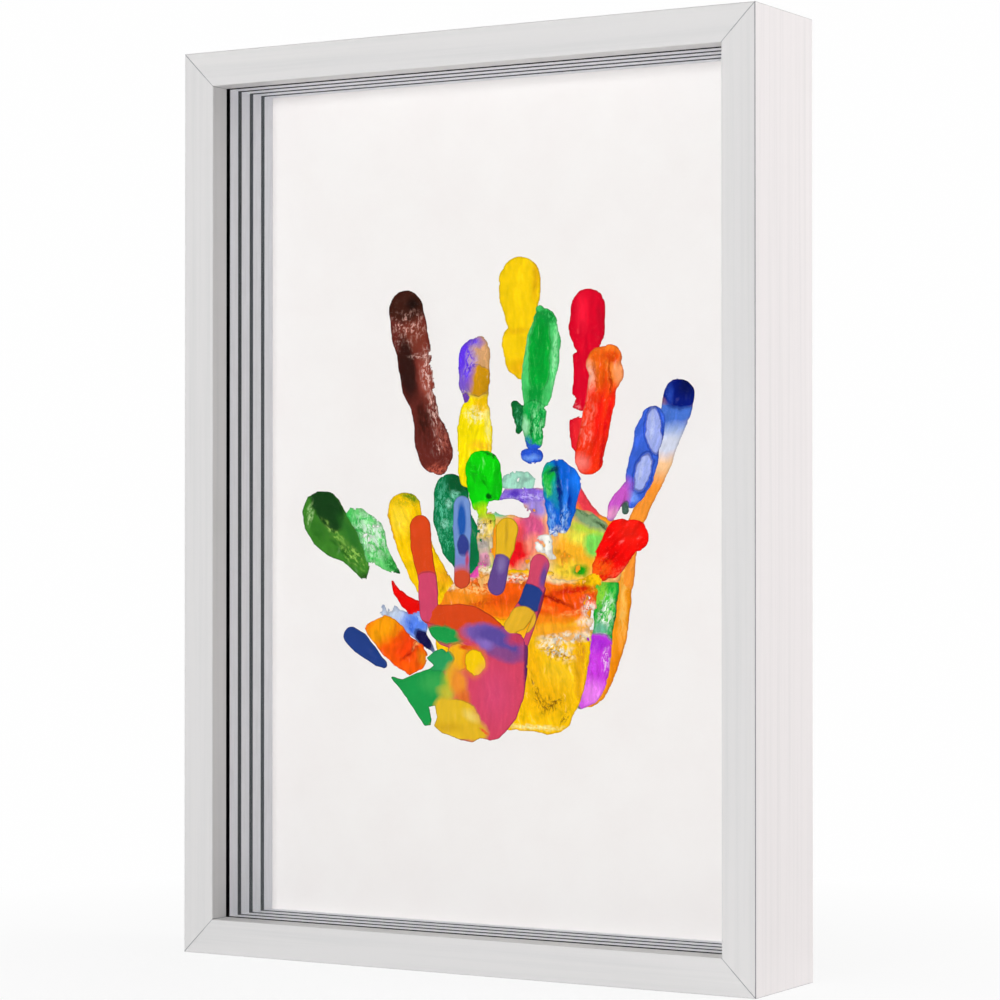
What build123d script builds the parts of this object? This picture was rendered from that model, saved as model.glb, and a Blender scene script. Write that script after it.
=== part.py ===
# A deep white box frame that shows a family's painted handprints in layers.
# Four mitred rails carry, from the front, four clear acrylic panes held apart by white spacer
# strips, then a white display board and a hardboard back. Each pane has one handprint in paint on
# its rear face, the smallest hand in front. Turn buttons on the rear edge hold the back in, and
# two hangers with swinging rings let the frame hang upright or on its side.
#
# Millimetres. The origin is the middle of the base, +Z is up and the front looks along -Y.
from build123d import *
from math import atan2, degrees, hypot, sqrt
import os

# Outside of the frame, seen from the front
frame_width = 220.0
frame_height = 312.0

# Moulding: an L section with a front lip and a side wall
face_width = 12.0          # of the lip, seen from the front
lip_depth = 8.25
wall_thickness = 7.0       # of the side wall behind the lip
edge_radius = 0.5          # on the long edges
mitre_ease = 0.2           # small bevel where two rails meet

# Clear panes and the strips between them
pane_count = 4
pane_thickness = 2.0
pane_clearance = 0.5       # all round, to the side walls
spacer_depth = 5.0         # front to back, between two panes
rear_spacer_depth = 5.25   # between the last pane and the display board
spacer_clearance = 0.3     # to the side walls

# Boards
display_board_thickness = 3.0
back_board_thickness = 3.0
board_clearance = 0.5      # all round, to the side walls

# Corner fasteners, driven flush into the back of each mitre
v_nail_leg = 3.4
v_nail_thickness = 0.5
v_nail_depth = 10.0
v_nail_edge = 1.4          # from the rebate to the nail

# Turn buttons and their screws
button_length = 22.0
button_width = 7.0
button_thickness = 1.2
button_edge = 0.25         # bevel on its rim
button_height_shares = (0.25, 0.75)   # of the frame's height, on the long rails
running_gap = 0.1          # between faces that slide on each other
screw_radius = 1.4
screw_clearance = 0.05     # in the button's hole
screw_edge = 1.3           # from the rebate to the screw
screw_length = 10.0        # below the button
screw_head_radius = 2.7
screw_head_height = 1.5
screw_head_edge = 0.5      # rounding of the head
cross_length = 3.2
cross_width = 0.7
cross_depth = 0.8

# Hangers: a riveted plate rolled round a triangular ring
hanger_width = 10.0
hanger_height = 14.0       # from the ring's pin to the plate's far end
hanger_sheet = 1.0
hanger_corner = 2.0
hanger_seat_gap = 0.1      # under the rolled end
hanger_top_inset = 44.0    # from the frame's outer edge to the ring's pin, for hanging upright
hanger_side_inset = 26.0   # the same, for hanging on its side
ring_wire_radius = 1.0
ring_pin_clearance = 0.1   # in the rolled end
ring_width = 26.0
ring_height = 21.0
ring_corner = 2.5
rivet_radius = 1.0
rivet_head_radius = 1.9
rivet_head_height = 0.7
rivet_spacing = 5.0
rivet_inset = 5.0          # from the far end of the plate
rivet_tail_radius = 1.7
rivet_tail_depth = 0.6

# Handprints: lengths from the heel of the palm to the tip of the middle finger
paint_thickness = 0.3
baby_hand_length = 79.0
child_hand_length = 97.0
mother_hand_length = 134.0
father_hand_length = 157.0

# Where the heel of each hand stands, from the front pane to the rear one: as a share of the opening's
# width from its middle and of its height from its bottom
heel_shares = {
    "baby": (0.011, 0.226),
    "child": (0.091, 0.229),
    "mother": (0.078, 0.260),
    "father": (0.083, 0.257),
}

# The thumb and the fingers of each hand, for a hand of length 1: the tip across from the heel and up,
# the root across and up, and the width
finger_shares = {
    "baby": (
        (-0.665, 0.455, -0.27, 0.19, 0.112),
        (-0.28, 0.955, -0.19, 0.42, 0.112),
        (-0.075, 1.00, -0.055, 0.46, 0.112),
        (0.16, 0.955, 0.085, 0.46, 0.108),
        (0.34, 0.80, 0.185, 0.37, 0.104),
    ),
    "child": (
        (-0.64, 0.385, -0.22, 0.16, 0.135),
        (-0.51, 0.85, -0.22, 0.42, 0.125),
        (-0.17, 1.00, -0.10, 0.50, 0.135),
        (0.145, 0.97, 0.07, 0.50, 0.135),
        (0.435, 0.76, 0.19, 0.40, 0.140),
    ),
    "mother": (
        (-0.53, 0.505, -0.26, 0.19, 0.120),
        (-0.17, 0.935, -0.150, 0.50, 0.100),
        (0.035, 1.00, 0.005, 0.55, 0.104),
        (0.225, 0.895, 0.135, 0.50, 0.106),
        (0.335, 0.75, 0.22, 0.42, 0.092),
    ),
    "father": (
        (-0.605, 0.465, -0.29, 0.17, 0.110),
        (-0.365, 0.915, -0.235, 0.46, 0.094),
        (-0.06, 0.98, -0.06, 0.53, 0.100),
        (0.105, 0.905, 0.085, 0.48, 0.092),
        (0.34, 0.695, 0.205, 0.39, 0.084),
    ),
}
# The pads of a finger of length 1 and width 1: how far from the tip, how long and how wide
pad_shares = (
    (0.17, 0.34, 1.00),
    (0.46, 0.44, 0.86),
    (0.80, 0.40, 0.96),
)
# The pads of a palm, for a hand of length 1: across, up, width, height, lean to the left in degrees
palm_shares = (
    (-0.125, 0.235, 0.20, 0.37, 14.0),
    (0.125, 0.245, 0.19, 0.42, -6.0),
    (0.0, 0.435, 0.46, 0.17, -5.0),
    (0.0, 0.27, 0.26, 0.34, 0.0),
    (0.01, 0.10, 0.27, 0.20, 0.0),
)

# Two faces or points nearer than this are the same one
touch = 0.001

# Worked out from the sizes above
strips_depth = (pane_count - 1) * spacer_depth + rear_spacer_depth
frame_depth = (lip_depth + pane_count * pane_thickness + strips_depth
               + display_board_thickness + back_board_thickness)
front_y = -frame_depth / 2
back_y = frame_depth / 2
lip_back_y = front_y + lip_depth
rebate_width = frame_width - 2 * wall_thickness
rebate_height = frame_height - 2 * wall_thickness
opening_width = frame_width - 2 * face_width
opening_height = frame_height - 2 * face_width
middle_z = frame_height / 2
display_board_y = back_y - back_board_thickness - display_board_thickness
pane_ys = [lip_back_y + i * (pane_thickness + spacer_depth) for i in range(pane_count)]

os.makedirs("parts", exist_ok=True)


def block(x_low, x_high, y_low, y_high, z_low, z_high):
    box = Box(x_high - x_low, y_high - y_low, z_high - z_low)
    return Pos((x_low + x_high) / 2, (y_low + y_high) / 2, (z_low + z_high) / 2) * box


def slab(outline, y_front, depth):
    # An outline drawn in X and Z, as a plate that starts at y_front and runs back by depth
    return Pos(0, y_front + depth, 0) * extrude(Plane.XZ * outline, depth)


def rod(x, z, y_front, radius, depth):
    return slab(Pos(x, z) * Circle(radius), y_front, depth)


# Moulding
def rail(length):
    # The bottom rail, centred on x = 0: its outer face is at z = 0 and the opening is above it
    section = make_face(Polyline(
        (front_y, 0), (back_y, 0), (back_y, wall_thickness), (lip_back_y, wall_thickness),
        (lip_back_y, face_width), (front_y, face_width), close=True))
    outer = section.vertices().filter_by(lambda v: abs(v.Y) < touch)
    front = section.vertices().filter_by(lambda v: abs(v.X - front_y) < touch and v.Y > touch)
    section = fillet(outer + front, edge_radius)
    half = length / 2
    mitred = make_face(Polyline(
        (-half, 0), (half, 0), (half - face_width, face_width), (face_width - half, face_width),
        close=True))
    stick = extrude(Plane.YZ * section, half, both=True) & slab(mitred, front_y, frame_depth)
    for end in (-1, 1):
        for y in (front_y, back_y):
            stick -= Pos(end * half, y, 0) * Rot(0, -90 - 45 * end, 0) * groove(2 * face_width)
        stick -= Pos(end * half, 0, 0) * Rot(0, 0, 90) * groove(2 * frame_depth)
    return stick


def groove(length):
    # A square bar on its edge along X: it cuts a V as deep as the mitre's ease
    side = mitre_ease * sqrt(2)
    return Rot(45, 0, 0) * Box(length, side, side)


def set_in_frame(bottom_rail, turn, half_span):
    # Turns a bottom rail about the middle of the frame, to another side
    return Pos(0, 0, middle_z) * Rot(0, turn, 0) * Pos(0, 0, -half_span) * bottom_rail


def v_nail(side, up):
    # side and up are -1 or 1: the corner's place seen from the front
    apex = wall_thickness - v_nail_edge
    tip = apex - v_nail_leg
    inner = apex - v_nail_thickness
    corner = [(apex, apex), (tip, apex), (tip, inner), (inner, inner), (inner, tip), (apex, tip)]
    points = [(side * (frame_width / 2 - a), middle_z + up * (frame_height / 2 - b)) for a, b in corner]
    return slab(make_face(Polyline(*points, close=True)), back_y - v_nail_depth, v_nail_depth)


# Turn buttons: where each screw stands and which way its button points, in degrees from +X
# towards +Z. A button at rest points to the middle of the back.
screw_inset = wall_thickness - screw_edge - screw_radius
side_x = frame_width / 2 - screw_inset
button_places = {
    "bottom": (0, screw_inset, 90),
    "top": (0, frame_height - screw_inset, -90),
}
for name, share in zip(("lower", "upper"), button_height_shares):
    button_places[name + "_left"] = (-side_x, share * frame_height, 0)
    button_places[name + "_right"] = (side_x, share * frame_height, 180)

button_y = back_y + running_gap
head_y = button_y + button_thickness + running_gap


def turn_button(x, z, turn):
    arm = button_length - button_width
    outline = SlotCenterToCenter(arm, button_width)
    plate = slab(Pos(arm / 2, 0) * outline, button_y, button_thickness)
    plate = chamfer(plate.edges().filter_by(lambda e: abs(e.center().Y - button_y) > button_thickness / 2),
                    button_edge)
    plate -= rod(0, 0, button_y, screw_radius + screw_clearance, button_thickness)
    return Pos(x, 0, z) * Rot(0, -turn, 0) * plate


def screw(x, z):
    head = rod(0, 0, head_y, screw_head_radius, screw_head_height)
    rim = head.edges().sort_by(Axis.Y)[-1]
    head = fillet(rim, screw_head_edge)
    cross = Rectangle(cross_length, cross_width) + Rectangle(cross_width, cross_length)
    head -= slab(cross, head_y + screw_head_height - cross_depth, cross_depth)
    shank = rod(0, 0, back_y - screw_length, screw_radius, head_y - back_y + screw_length)
    return Pos(x, 0, z) * (head + shank)


# Hangers, drawn with the pin along X: the plate runs down from it, and the ring hangs over the plate
pin_bore = ring_wire_radius + ring_pin_clearance
roll_radius = pin_bore + hanger_sheet
pin_y = back_y + hanger_seat_gap + roll_radius
hanger_places = {
    # across, up and turn in degrees: the pin is the end of the hanger nearest to the frame's edge
    "upright": (0, frame_height - hanger_top_inset, 0),
    "sideways": (hanger_side_inset - frame_width / 2, middle_z, -90),
}
rivet_z = rivet_inset - hanger_height
rivet_xs = (-rivet_spacing / 2, rivet_spacing / 2)


def at_hanger(shape, place):
    x, z, turn = hanger_places[place]
    return Pos(x, 0, z) * Rot(0, turn, 0) * shape


def hanger_plate():
    outline = Pos(0, -hanger_height / 2) * Rectangle(hanger_width, hanger_height)
    far_corners = outline.vertices().filter_by(lambda v: v.Y < -hanger_height / 2)
    plate = slab(fillet(far_corners, hanger_corner), back_y, hanger_sheet)
    roll_ends = Plane.YZ * Pos(pin_y, 0) * Circle(roll_radius)
    roll = extrude(roll_ends, hanger_width / 2, both=True)
    bore = extrude(Plane.YZ * Pos(pin_y, 0) * Circle(pin_bore), hanger_width / 2, both=True)
    plate += roll - bore
    for x in rivet_xs:
        plate -= rod(x, rivet_z, back_y, rivet_radius, hanger_sheet)
    return plate


def rivet(x):
    shank_y = back_y - back_board_thickness
    shank = rod(x, rivet_z, shank_y, rivet_radius, back_board_thickness + hanger_sheet)
    tail = rod(x, rivet_z, shank_y, rivet_tail_radius, rivet_tail_depth)
    head = rod(x, rivet_z, back_y + hanger_sheet, rivet_head_radius, rivet_head_height)
    rim = head.edges().sort_by(Axis.Y)[-1]
    return shank + tail + fillet(rim, rivet_head_height / 2)


def ring():
    half = ring_width / 2
    path = FilletPolyline((-half, 0), (half, 0), (0, -ring_height), radius=ring_corner, close=True)
    path = Plane.XZ.offset(-pin_y) * path
    start = Plane(origin=path @ 0, z_dir=path % 0)
    return sweep(start * Circle(ring_wire_radius), path=path)


# Handprints
def pad(across, up, width, height, lean):
    return Pos(across, up) * Rot(0, 0, lean) * Ellipse(width / 2, height / 2)


def finger_pads(length, tip_across, tip_up, root_across, root_up, finger_width):
    run = root_across - tip_across
    drop = root_up - tip_up
    finger_length = hypot(run, drop) * length
    turn = degrees(atan2(drop, run))
    pads = []
    for along, pad_length, pad_width in pad_shares:
        outline = SlotOverall(finger_length * pad_length, length * finger_width * pad_width)
        middle = Pos((tip_across + along * run) * length, (tip_up + along * drop) * length)
        pads.append(middle * Rot(0, 0, turn) * outline)
    return pads


def handprint(name, length, y_front):
    pads = [pad(a * length, b * length, w * length, h * length, lean) for a, b, w, h, lean in palm_shares]
    for finger in finger_shares[name]:
        pads += finger_pads(length, *finger)
    heel_across, heel_up = heel_shares[name]
    heel = Pos(heel_across * opening_width, face_width + heel_up * opening_height)
    return slab(heel * (pads[0] + pads[1:]), y_front, paint_thickness)


# The pieces
pieces = {}

v_nails = [v_nail(side, up) for side in (-1, 1) for up in (-1, 1)]
screws = [screw(x, z) for x, z, turn in button_places.values()]
pilot_holes = [rod(x, z, back_y - screw_length, screw_radius, screw_length)
               for x, z, turn in button_places.values()]
rail_turns = {
    "rail_bottom": (frame_width, 0, frame_height / 2),
    "rail_right": (frame_height, -90, frame_width / 2),
    "rail_top": (frame_width, 180, frame_height / 2),
    "rail_left": (frame_height, 90, frame_width / 2),
}
for name, (length, turn, half_span) in rail_turns.items():
    pieces[name] = set_in_frame(rail(length), turn, half_span) - v_nails - pilot_holes

for i, y in enumerate(pane_ys):
    number = str(i + 1)
    half_width = rebate_width / 2 - pane_clearance
    half_height = rebate_height / 2 - pane_clearance
    pieces["pane_" + number] = block(
        -half_width, half_width, y, y + pane_thickness, middle_z - half_height, middle_z + half_height)
    y_front = y + pane_thickness
    y_rear = pane_ys[i + 1] if i + 1 < pane_count else display_board_y
    out_x = rebate_width / 2 - spacer_clearance
    out_z = rebate_height / 2 - spacer_clearance
    in_x = opening_width / 2
    in_z = opening_height / 2
    strips = {
        "bottom": (-out_x, out_x, -out_z, -in_z),
        "top": (-out_x, out_x, in_z, out_z),
        "left": (-out_x, -in_x, -in_z, in_z),
        "right": (in_x, out_x, -in_z, in_z),
    }
    for side, (x_low, x_high, z_low, z_high) in strips.items():
        pieces["spacer_" + number + "_" + side] = block(
            x_low, x_high, y_front, y_rear, middle_z + z_low, middle_z + z_high)

hand_lengths = {
    "baby": baby_hand_length,
    "child": child_hand_length,
    "mother": mother_hand_length,
    "father": father_hand_length,
}
for (name, length), y in zip(hand_lengths.items(), pane_ys):
    pieces["handprint_" + name] = handprint(name, length, y + pane_thickness)

half_width = rebate_width / 2 - board_clearance
half_height = rebate_height / 2 - board_clearance
pieces["display_board"] = block(
    -half_width, half_width, display_board_y, display_board_y + display_board_thickness,
    middle_z - half_height, middle_z + half_height)
rivets = [at_hanger(rivet(x), place) for place in hanger_places for x in rivet_xs]
pieces["back_board"] = block(
    -half_width, half_width, back_y - back_board_thickness, back_y,
    middle_z - half_height, middle_z + half_height) - rivets

pieces["v_nails"] = Compound(children=v_nails)
pieces["turn_button_screws"] = Compound(children=screws)
pieces["hanger_rivets"] = Compound(children=rivets)
for name, (x, z, turn) in button_places.items():
    pieces["turn_button_" + name] = turn_button(x, z, turn)
for place in hanger_places:
    pieces["hanger_plate_" + place] = at_hanger(hanger_plate(), place)
    pieces["hanger_ring_" + place] = at_hanger(ring(), place)

for name, piece in pieces.items():
    export_step(piece, "parts/" + name + ".step")
print(len(pieces), "pieces in a frame of", frame_width, "x", frame_depth, "x", frame_height)
for name, (x, z, turn) in button_places.items():
    print("turn button", name, "turns about x", x, "z", z)
for name, (x, z, turn) in hanger_places.items():
    print("ring", name, "swings about x", x, "y", pin_y, "z", z)
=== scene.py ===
import bpy
import math
import numpy as np
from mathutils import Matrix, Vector


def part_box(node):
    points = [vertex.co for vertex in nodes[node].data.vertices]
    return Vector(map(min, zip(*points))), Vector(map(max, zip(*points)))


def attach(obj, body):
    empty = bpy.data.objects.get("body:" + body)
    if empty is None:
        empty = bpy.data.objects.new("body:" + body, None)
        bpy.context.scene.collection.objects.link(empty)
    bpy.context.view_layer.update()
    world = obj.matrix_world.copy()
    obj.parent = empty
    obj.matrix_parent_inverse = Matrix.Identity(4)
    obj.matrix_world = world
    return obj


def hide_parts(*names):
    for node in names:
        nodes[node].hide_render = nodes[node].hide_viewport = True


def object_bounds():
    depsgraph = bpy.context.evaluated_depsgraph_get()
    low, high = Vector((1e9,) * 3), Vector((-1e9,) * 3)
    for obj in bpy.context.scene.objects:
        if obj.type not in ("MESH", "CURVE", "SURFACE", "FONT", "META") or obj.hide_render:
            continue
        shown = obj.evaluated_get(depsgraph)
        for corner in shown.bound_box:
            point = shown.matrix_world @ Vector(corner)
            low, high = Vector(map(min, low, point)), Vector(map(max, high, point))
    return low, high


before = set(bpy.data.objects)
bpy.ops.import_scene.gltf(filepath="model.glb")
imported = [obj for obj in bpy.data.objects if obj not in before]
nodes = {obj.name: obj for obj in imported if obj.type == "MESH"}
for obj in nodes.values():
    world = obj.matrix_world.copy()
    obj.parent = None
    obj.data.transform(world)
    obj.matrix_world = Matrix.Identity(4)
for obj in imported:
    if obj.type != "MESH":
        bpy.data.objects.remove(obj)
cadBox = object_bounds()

mm = 0.001


# The window, from the frame's own rails
window = {
    "left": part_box("rail_left")[1].x,
    "right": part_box("rail_right")[0].x,
    "bottom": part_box("rail_bottom")[1].z,
    "top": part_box("rail_top")[0].z,
}
window["width"] = window["right"] - window["left"]
window["height"] = window["top"] - window["bottom"]
window["middle"] = (window["bottom"] + window["top"]) / 2
print("window", {key: round(value, 4) for key, value in window.items()})


# Small helpers for materials
def screen(hexColour):
    # A colour as it looks on screen, as the linear values that a shader takes
    parts = [int(hexColour[i:i + 2], 16) / 255 for i in (0, 2, 4)]
    return tuple(p / 12.92 if p <= 0.04045 else ((p + 0.055) / 1.055) ** 2.4 for p in parts) + (1.0,)


def grey(level):
    return (level, level, level, 1.0)


class Tree:
    # A tree of shader nodes, and short ways to add the usual ones

    def __init__(self, nodeTree, output="OutputMaterial"):
        self.nodes = nodeTree.nodes
        self.links = nodeTree.links
        self.nodes.clear()
        self.output = self.nodes.new("ShaderNode" + output)

    def put(self, value, socket):
        if isinstance(value, bpy.types.NodeSocket):
            self.links.new(value, socket)
        else:
            socket.default_value = value

    def add(self, kind, inputs, output=0, **settings):
        # One node, with a value or another node's output for each input that is named or numbered
        node = self.nodes.new("ShaderNode" + kind)
        for name, value in settings.items():
            setattr(node, name, value)
        for name, value in inputs.items():
            self.put(value, node.inputs[name])
        return node.outputs[output]

    def show(self, shader):
        self.put(shader, self.output.inputs["Surface"])

    def maths(self, operation, a, b=0.0):
        return self.add("Math", {0: a, 1: b}, operation=operation)

    def mix(self, share, a, b, blend="MIX"):
        return self.add("Mix", {"Factor": share, "A": a, "B": b}, "Result",
                        data_type="RGBA", blend_type=blend)

    def mixShader(self, share, a, b):
        return self.add("MixShader", {0: share, 1: a, 2: b})

    def ramp(self, value, low, high, start=0.0, end=1.0):
        # Turns the values from low to high into those from start to end
        return self.add("MapRange", {"Value": value, "From Min": low, "From Max": high, "To Min": start,
                                     "To Max": end}, "Result")

    def mapping(self, vector, place=(0, 0, 0), turn=(0, 0, 0), scale=(1, 1, 1), kind="POINT"):
        return self.add("Mapping", {"Vector": vector, "Location": place, "Rotation": turn, "Scale": scale},
                        vector_type=kind)

    def clouds(self, vector, scale, detail=3.0, roughness=0.5, distortion=0.0, output="Fac"):
        return self.add("TexNoise", {"Vector": vector, "Scale": scale, "Detail": detail,
                                     "Roughness": roughness, "Distortion": distortion}, output)

    def length(self, vector):
        return self.add("VectorMath", {0: vector}, "Value", operation="LENGTH")

    def bump(self, height, strength, distance, normal=None):
        under = {"Normal": normal} if normal else {}
        return self.add("Bump", {"Height": height, "Strength": strength, "Distance": distance, **under})

    def offMiddle(self, socket, middle):
        # How far a value is from the middle, either way
        return self.maths("ABSOLUTE", self.maths("SUBTRACT", socket, middle))

    def axes(self, vector):
        node = self.nodes.new("ShaderNodeSeparateXYZ")
        self.put(vector, node.inputs[0])
        return node.outputs


class Finish(Tree):
    # A material: the tree with its main shader, on the object's own coordinates

    def __init__(self, name, roughness):
        self.material = bpy.data.materials.new(name)
        self.material.use_nodes = True
        super().__init__(self.material.node_tree)
        self.shader = self.nodes.new("ShaderNodeBsdfPrincipled")
        self.shader.inputs["Roughness"].default_value = roughness
        self.show(self.shader.outputs[0])
        self.coords = self.nodes.new("ShaderNodeTexCoord").outputs["Object"]

    def done(self, colour, normal, roughness=None):
        self.put(colour, self.shader.inputs["Base Color"])
        self.put(normal, self.shader.inputs["Normal"])
        if roughness:
            self.put(roughness, self.shader.inputs["Roughness"])
        return self.material


def dress(names, material):
    for name in names:
        node = nodes[name]
        if not node.material_slots:
            node.data.materials.append(material)
        for place in node.material_slots:
            place.material = material


# Moulding. Here and below, a band is where in a noise something sets in and where it is full, and then
# how strong it is at those two. A noise is its detail, roughness and distortion, after its scale per metre
# where it has one. A relief is its strength and depth.
rails = {
    "face": "dddcdc",        # front and sides
    "streak": "d6d6d6",      # faint streaks along the rail
    "streakBand": (0.45, 0.72),
    "pale": "e2e1e0",
    "paleBand": (0.5, 0.75, 0.0, 0.6),
    "joint": "8e9196",       # in the mitre's fine groove
    "jointWidth": 0.28 * mm,
    "fold": "77767c",        # a thin dark line along the right front edge
    "foldWidth": 0.36 * mm,
    "foldCore": 0.6,         # share of that width with the full colour
    "grainAlong": 7.0,       # per metre
    "grainAcross": 420.0,
    "grainNoise": (4.0, 0.6),
    "broad": 6,              # how many times as large the pale patches are
    "broadNoise": (2.0,),
    "roughness": 0.42,
    "roughBand": (0.3, 0.7, 0.36, 0.5),
    "relief": (0.12, 0.05 * mm),
}


def railMaterial(name, along):
    tree = Finish(name, rails["roughness"])
    stretch = [rails["grainAcross"]] * 3
    stretch[along] = rails["grainAlong"]
    grain = tree.clouds(tree.mapping(tree.coords, scale=stretch), 1.0, *rails["grainNoise"])
    stretch = [scale / rails["broad"] for scale in stretch]
    broad = tree.clouds(tree.mapping(tree.coords, scale=stretch), 1.0, *rails["broadNoise"])
    face = tree.mix(tree.ramp(grain, *rails["streakBand"]), screen(rails["face"]), screen(rails["streak"]))
    face = tree.mix(tree.ramp(broad, *rails["paleBand"]), face, screen(rails["pale"]))
    # How far a point is from the mitre planes, which run at 45 degrees through the corners
    x, y, z = tree.axes(tree.coords)
    fromSide = tree.maths("SUBTRACT", cadBox[1][0], tree.maths("ABSOLUTE", x))
    fromEnd = tree.maths("SUBTRACT", window["middle"], tree.offMiddle(z, window["middle"]))
    joint = tree.ramp(tree.offMiddle(fromSide, fromEnd), 0.0, rails["jointWidth"], 1.0, 0.0)
    face = tree.mix(joint, face, screen(rails["joint"]))
    if along == 2:
        # A thin dark line along the right front edge
        fromFront = tree.maths("SUBTRACT", y, cadBox[0][1])
        fromEdge = tree.maths("MAXIMUM", fromFront, tree.maths("SUBTRACT", cadBox[1][0], x))
        fold = tree.ramp(fromEdge, rails["foldCore"] * rails["foldWidth"], rails["foldWidth"], 1.0, 0.0)
        face = tree.mix(fold, face, screen(rails["fold"]))
    return tree.done(face, tree.bump(grain, *rails["relief"]), tree.ramp(grain, *rails["roughBand"]))


dress(["rail_top", "rail_bottom"], railMaterial("whiteWrapAcross", 0))
dress(["rail_left", "rail_right"], railMaterial("whiteWrapUp", 2))
print("rails dressed")


# Panes: clear inside the window, and beyond it painted shade where the light is lost between the strips,
# with a painted glow on the back three panes
panes = {
    "clear": (0.999, 1.0, 1.0, 1.0),
    "edge": ["050607", "484a4c", "525558", "575a5d"],   # painted shade in the slot of each pane, from the front
    "edgeRoughness": 0.35,
    "paintedEdgeGlow": [0.0, 1.0, 1.0, 1.0],                       # painted glow of that dark border, standing in for the light that a sheet carries to its own edge
    "index": 1.49,
    "gloss": [1.0, 0.12, 0.12, 0.12],                   # how much each pane reflects
    "glossRoughness": 0.02,
    "seam": 0.15 * mm,
}


def paneMaterial(number):
    tree = Finish("clearAcrylic_%d" % (number + 1), panes["edgeRoughness"])
    # The border beyond the window is painted slot shade, and on all but the front pane it glows a little as
    # painted light
    for socket in ("Base Color", "Emission Color"):
        tree.shader.inputs[socket].default_value = screen(panes["edge"][number])
    tree.shader.inputs["Emission Strength"].default_value = panes["paintedEdgeGlow"][number]
    x, y, z = tree.axes(tree.coords)
    across = tree.maths("SUBTRACT", tree.maths("ABSOLUTE", x), window["width"] / 2)
    upwards = tree.maths("SUBTRACT", tree.offMiddle(z, window["middle"]), window["height"] / 2)
    inside = tree.ramp(tree.maths("MAXIMUM", across, upwards), -panes["seam"], 0.0, 1.0, 0.0)
    # Squared, as on coated acrylic: hardly any reflection from in front, more at a glancing angle. Only
    # from outside the sheet, for the light crosses it unbent and would be caught inside.
    fresnel = tree.add("Fresnel", {"IOR": panes["index"]})
    sheen = tree.maths("MULTIPLY", fresnel, fresnel)
    rearFace = tree.add("NewGeometry", {}, "Backfacing")
    outside = tree.maths("MULTIPLY", tree.maths("SUBTRACT", 1.0, rearFace), panes["gloss"][number])
    clear = tree.add("BsdfTransparent", {"Color": panes["clear"]})
    gloss = tree.add("BsdfGlossy", {"Roughness": panes["glossRoughness"]})
    film = tree.mixShader(tree.maths("MULTIPLY", sheen, outside), clear, gloss)
    tree.show(tree.mixShader(inside, tree.shader.outputs[0], film))
    return tree.material


for number in range(4):
    dress(["pane_%d" % (number + 1)], paneMaterial(number))
print("panes dressed")


# Strips between the panes
strips = {
    "face": "f0f1f6",
    "shade": "e6e7eb",
    "paintedSlotShade": "17181a",    # painted shade on the faces pressed against the sheets, seen only in the slots
    "facing": 0.5,           # how squarely a face looks forwards or backwards, to be one of those
    "roughness": 0.5,
    "speckle": (900.0, 2.0),
    "speckleBand": (0.55, 0.7, 0.0, 0.3),
    "streaks": (60, 900, 60),
    "streakBand": (0.4, 0.7, 0.0, 0.8),
    "relief": (0.15, 0.03 * mm),
}


def stripMaterial():
    tree = Finish("whiteStrip", strips["roughness"])
    speckle = tree.clouds(tree.coords, *strips["speckle"])
    streak = tree.clouds(tree.mapping(tree.coords, scale=strips["streaks"]), 1.0)
    shade = screen(strips["shade"])
    face = tree.mix(tree.ramp(streak, *strips["streakBand"]), screen(strips["face"]), shade)
    face = tree.mix(tree.ramp(speckle, *strips["speckleBand"]), face, shade)
    # Painted shade on the faces that look forwards or backwards, against the sheets
    facing = tree.axes(tree.add("NewGeometry", {}, "Normal"))
    flat = tree.maths("GREATER_THAN", tree.maths("ABSOLUTE", facing[1]), strips["facing"])
    face = tree.mix(flat, face, screen(strips["paintedSlotShade"]))
    return tree.done(face, tree.bump(speckle, *strips["relief"]))


stripNames = ["spacer_%d_%s" % (number, side) for number in range(1, 5)
              for side in ("bottom", "top", "left", "right")]
dress(stripNames, stripMaterial())
print("strips dressed")


# Boards
card = {
    "face": "f8f4f2",
    "shade": "f6f1ef",
    "roughness": 0.65,
    "mottle": (45.0, 4.0, 0.6),
    "mottleBand": (0.35, 0.7),
    "fibre": (1400.0, 2.0),
    "relief": (0.08, 0.03 * mm),
}
hardboard = {
    "face": "6b4a30",
    "dark": "4d3320",
    "darkBand": (0.42, 0.62),
    "pale": "8a6645",
    "paleBand": (0.45, 0.75, 0.0, 0.45),
    "roughness": 0.62,
    "roughBand": (0.3, 0.7, 0.5, 0.72),
    "fibre": (520.0, 5.0, 0.7, 1.2),
    "fibreStretch": (1.0, 1.0, 2.4),
    "blotch": (24.0, 4.0, 0.6),
    "relief": (0.35, 0.08 * mm),
}


def cardMaterial():
    tree = Finish("warmCard", card["roughness"])
    mottle = tree.ramp(tree.clouds(tree.coords, *card["mottle"]), *card["mottleBand"])
    fibre = tree.clouds(tree.coords, *card["fibre"])
    face = tree.mix(mottle, screen(card["face"]), screen(card["shade"]))
    return tree.done(face, tree.bump(fibre, *card["relief"]))


def hardboardMaterial():
    tree = Finish("hardboard", hardboard["roughness"])
    fibre = tree.clouds(tree.mapping(tree.coords, scale=hardboard["fibreStretch"]), *hardboard["fibre"])
    blotch = tree.clouds(tree.coords, *hardboard["blotch"])
    dark = tree.ramp(fibre, *hardboard["darkBand"])
    face = tree.mix(dark, screen(hardboard["face"]), screen(hardboard["dark"]))
    face = tree.mix(tree.ramp(blotch, *hardboard["paleBand"]), face, screen(hardboard["pale"]))
    gloss = tree.ramp(fibre, *hardboard["roughBand"])
    return tree.done(face, tree.bump(fibre, *hardboard["relief"]), gloss)


dress(["display_board"], cardMaterial())
dress(["back_board"], hardboardMaterial())
print("boards dressed")


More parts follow.
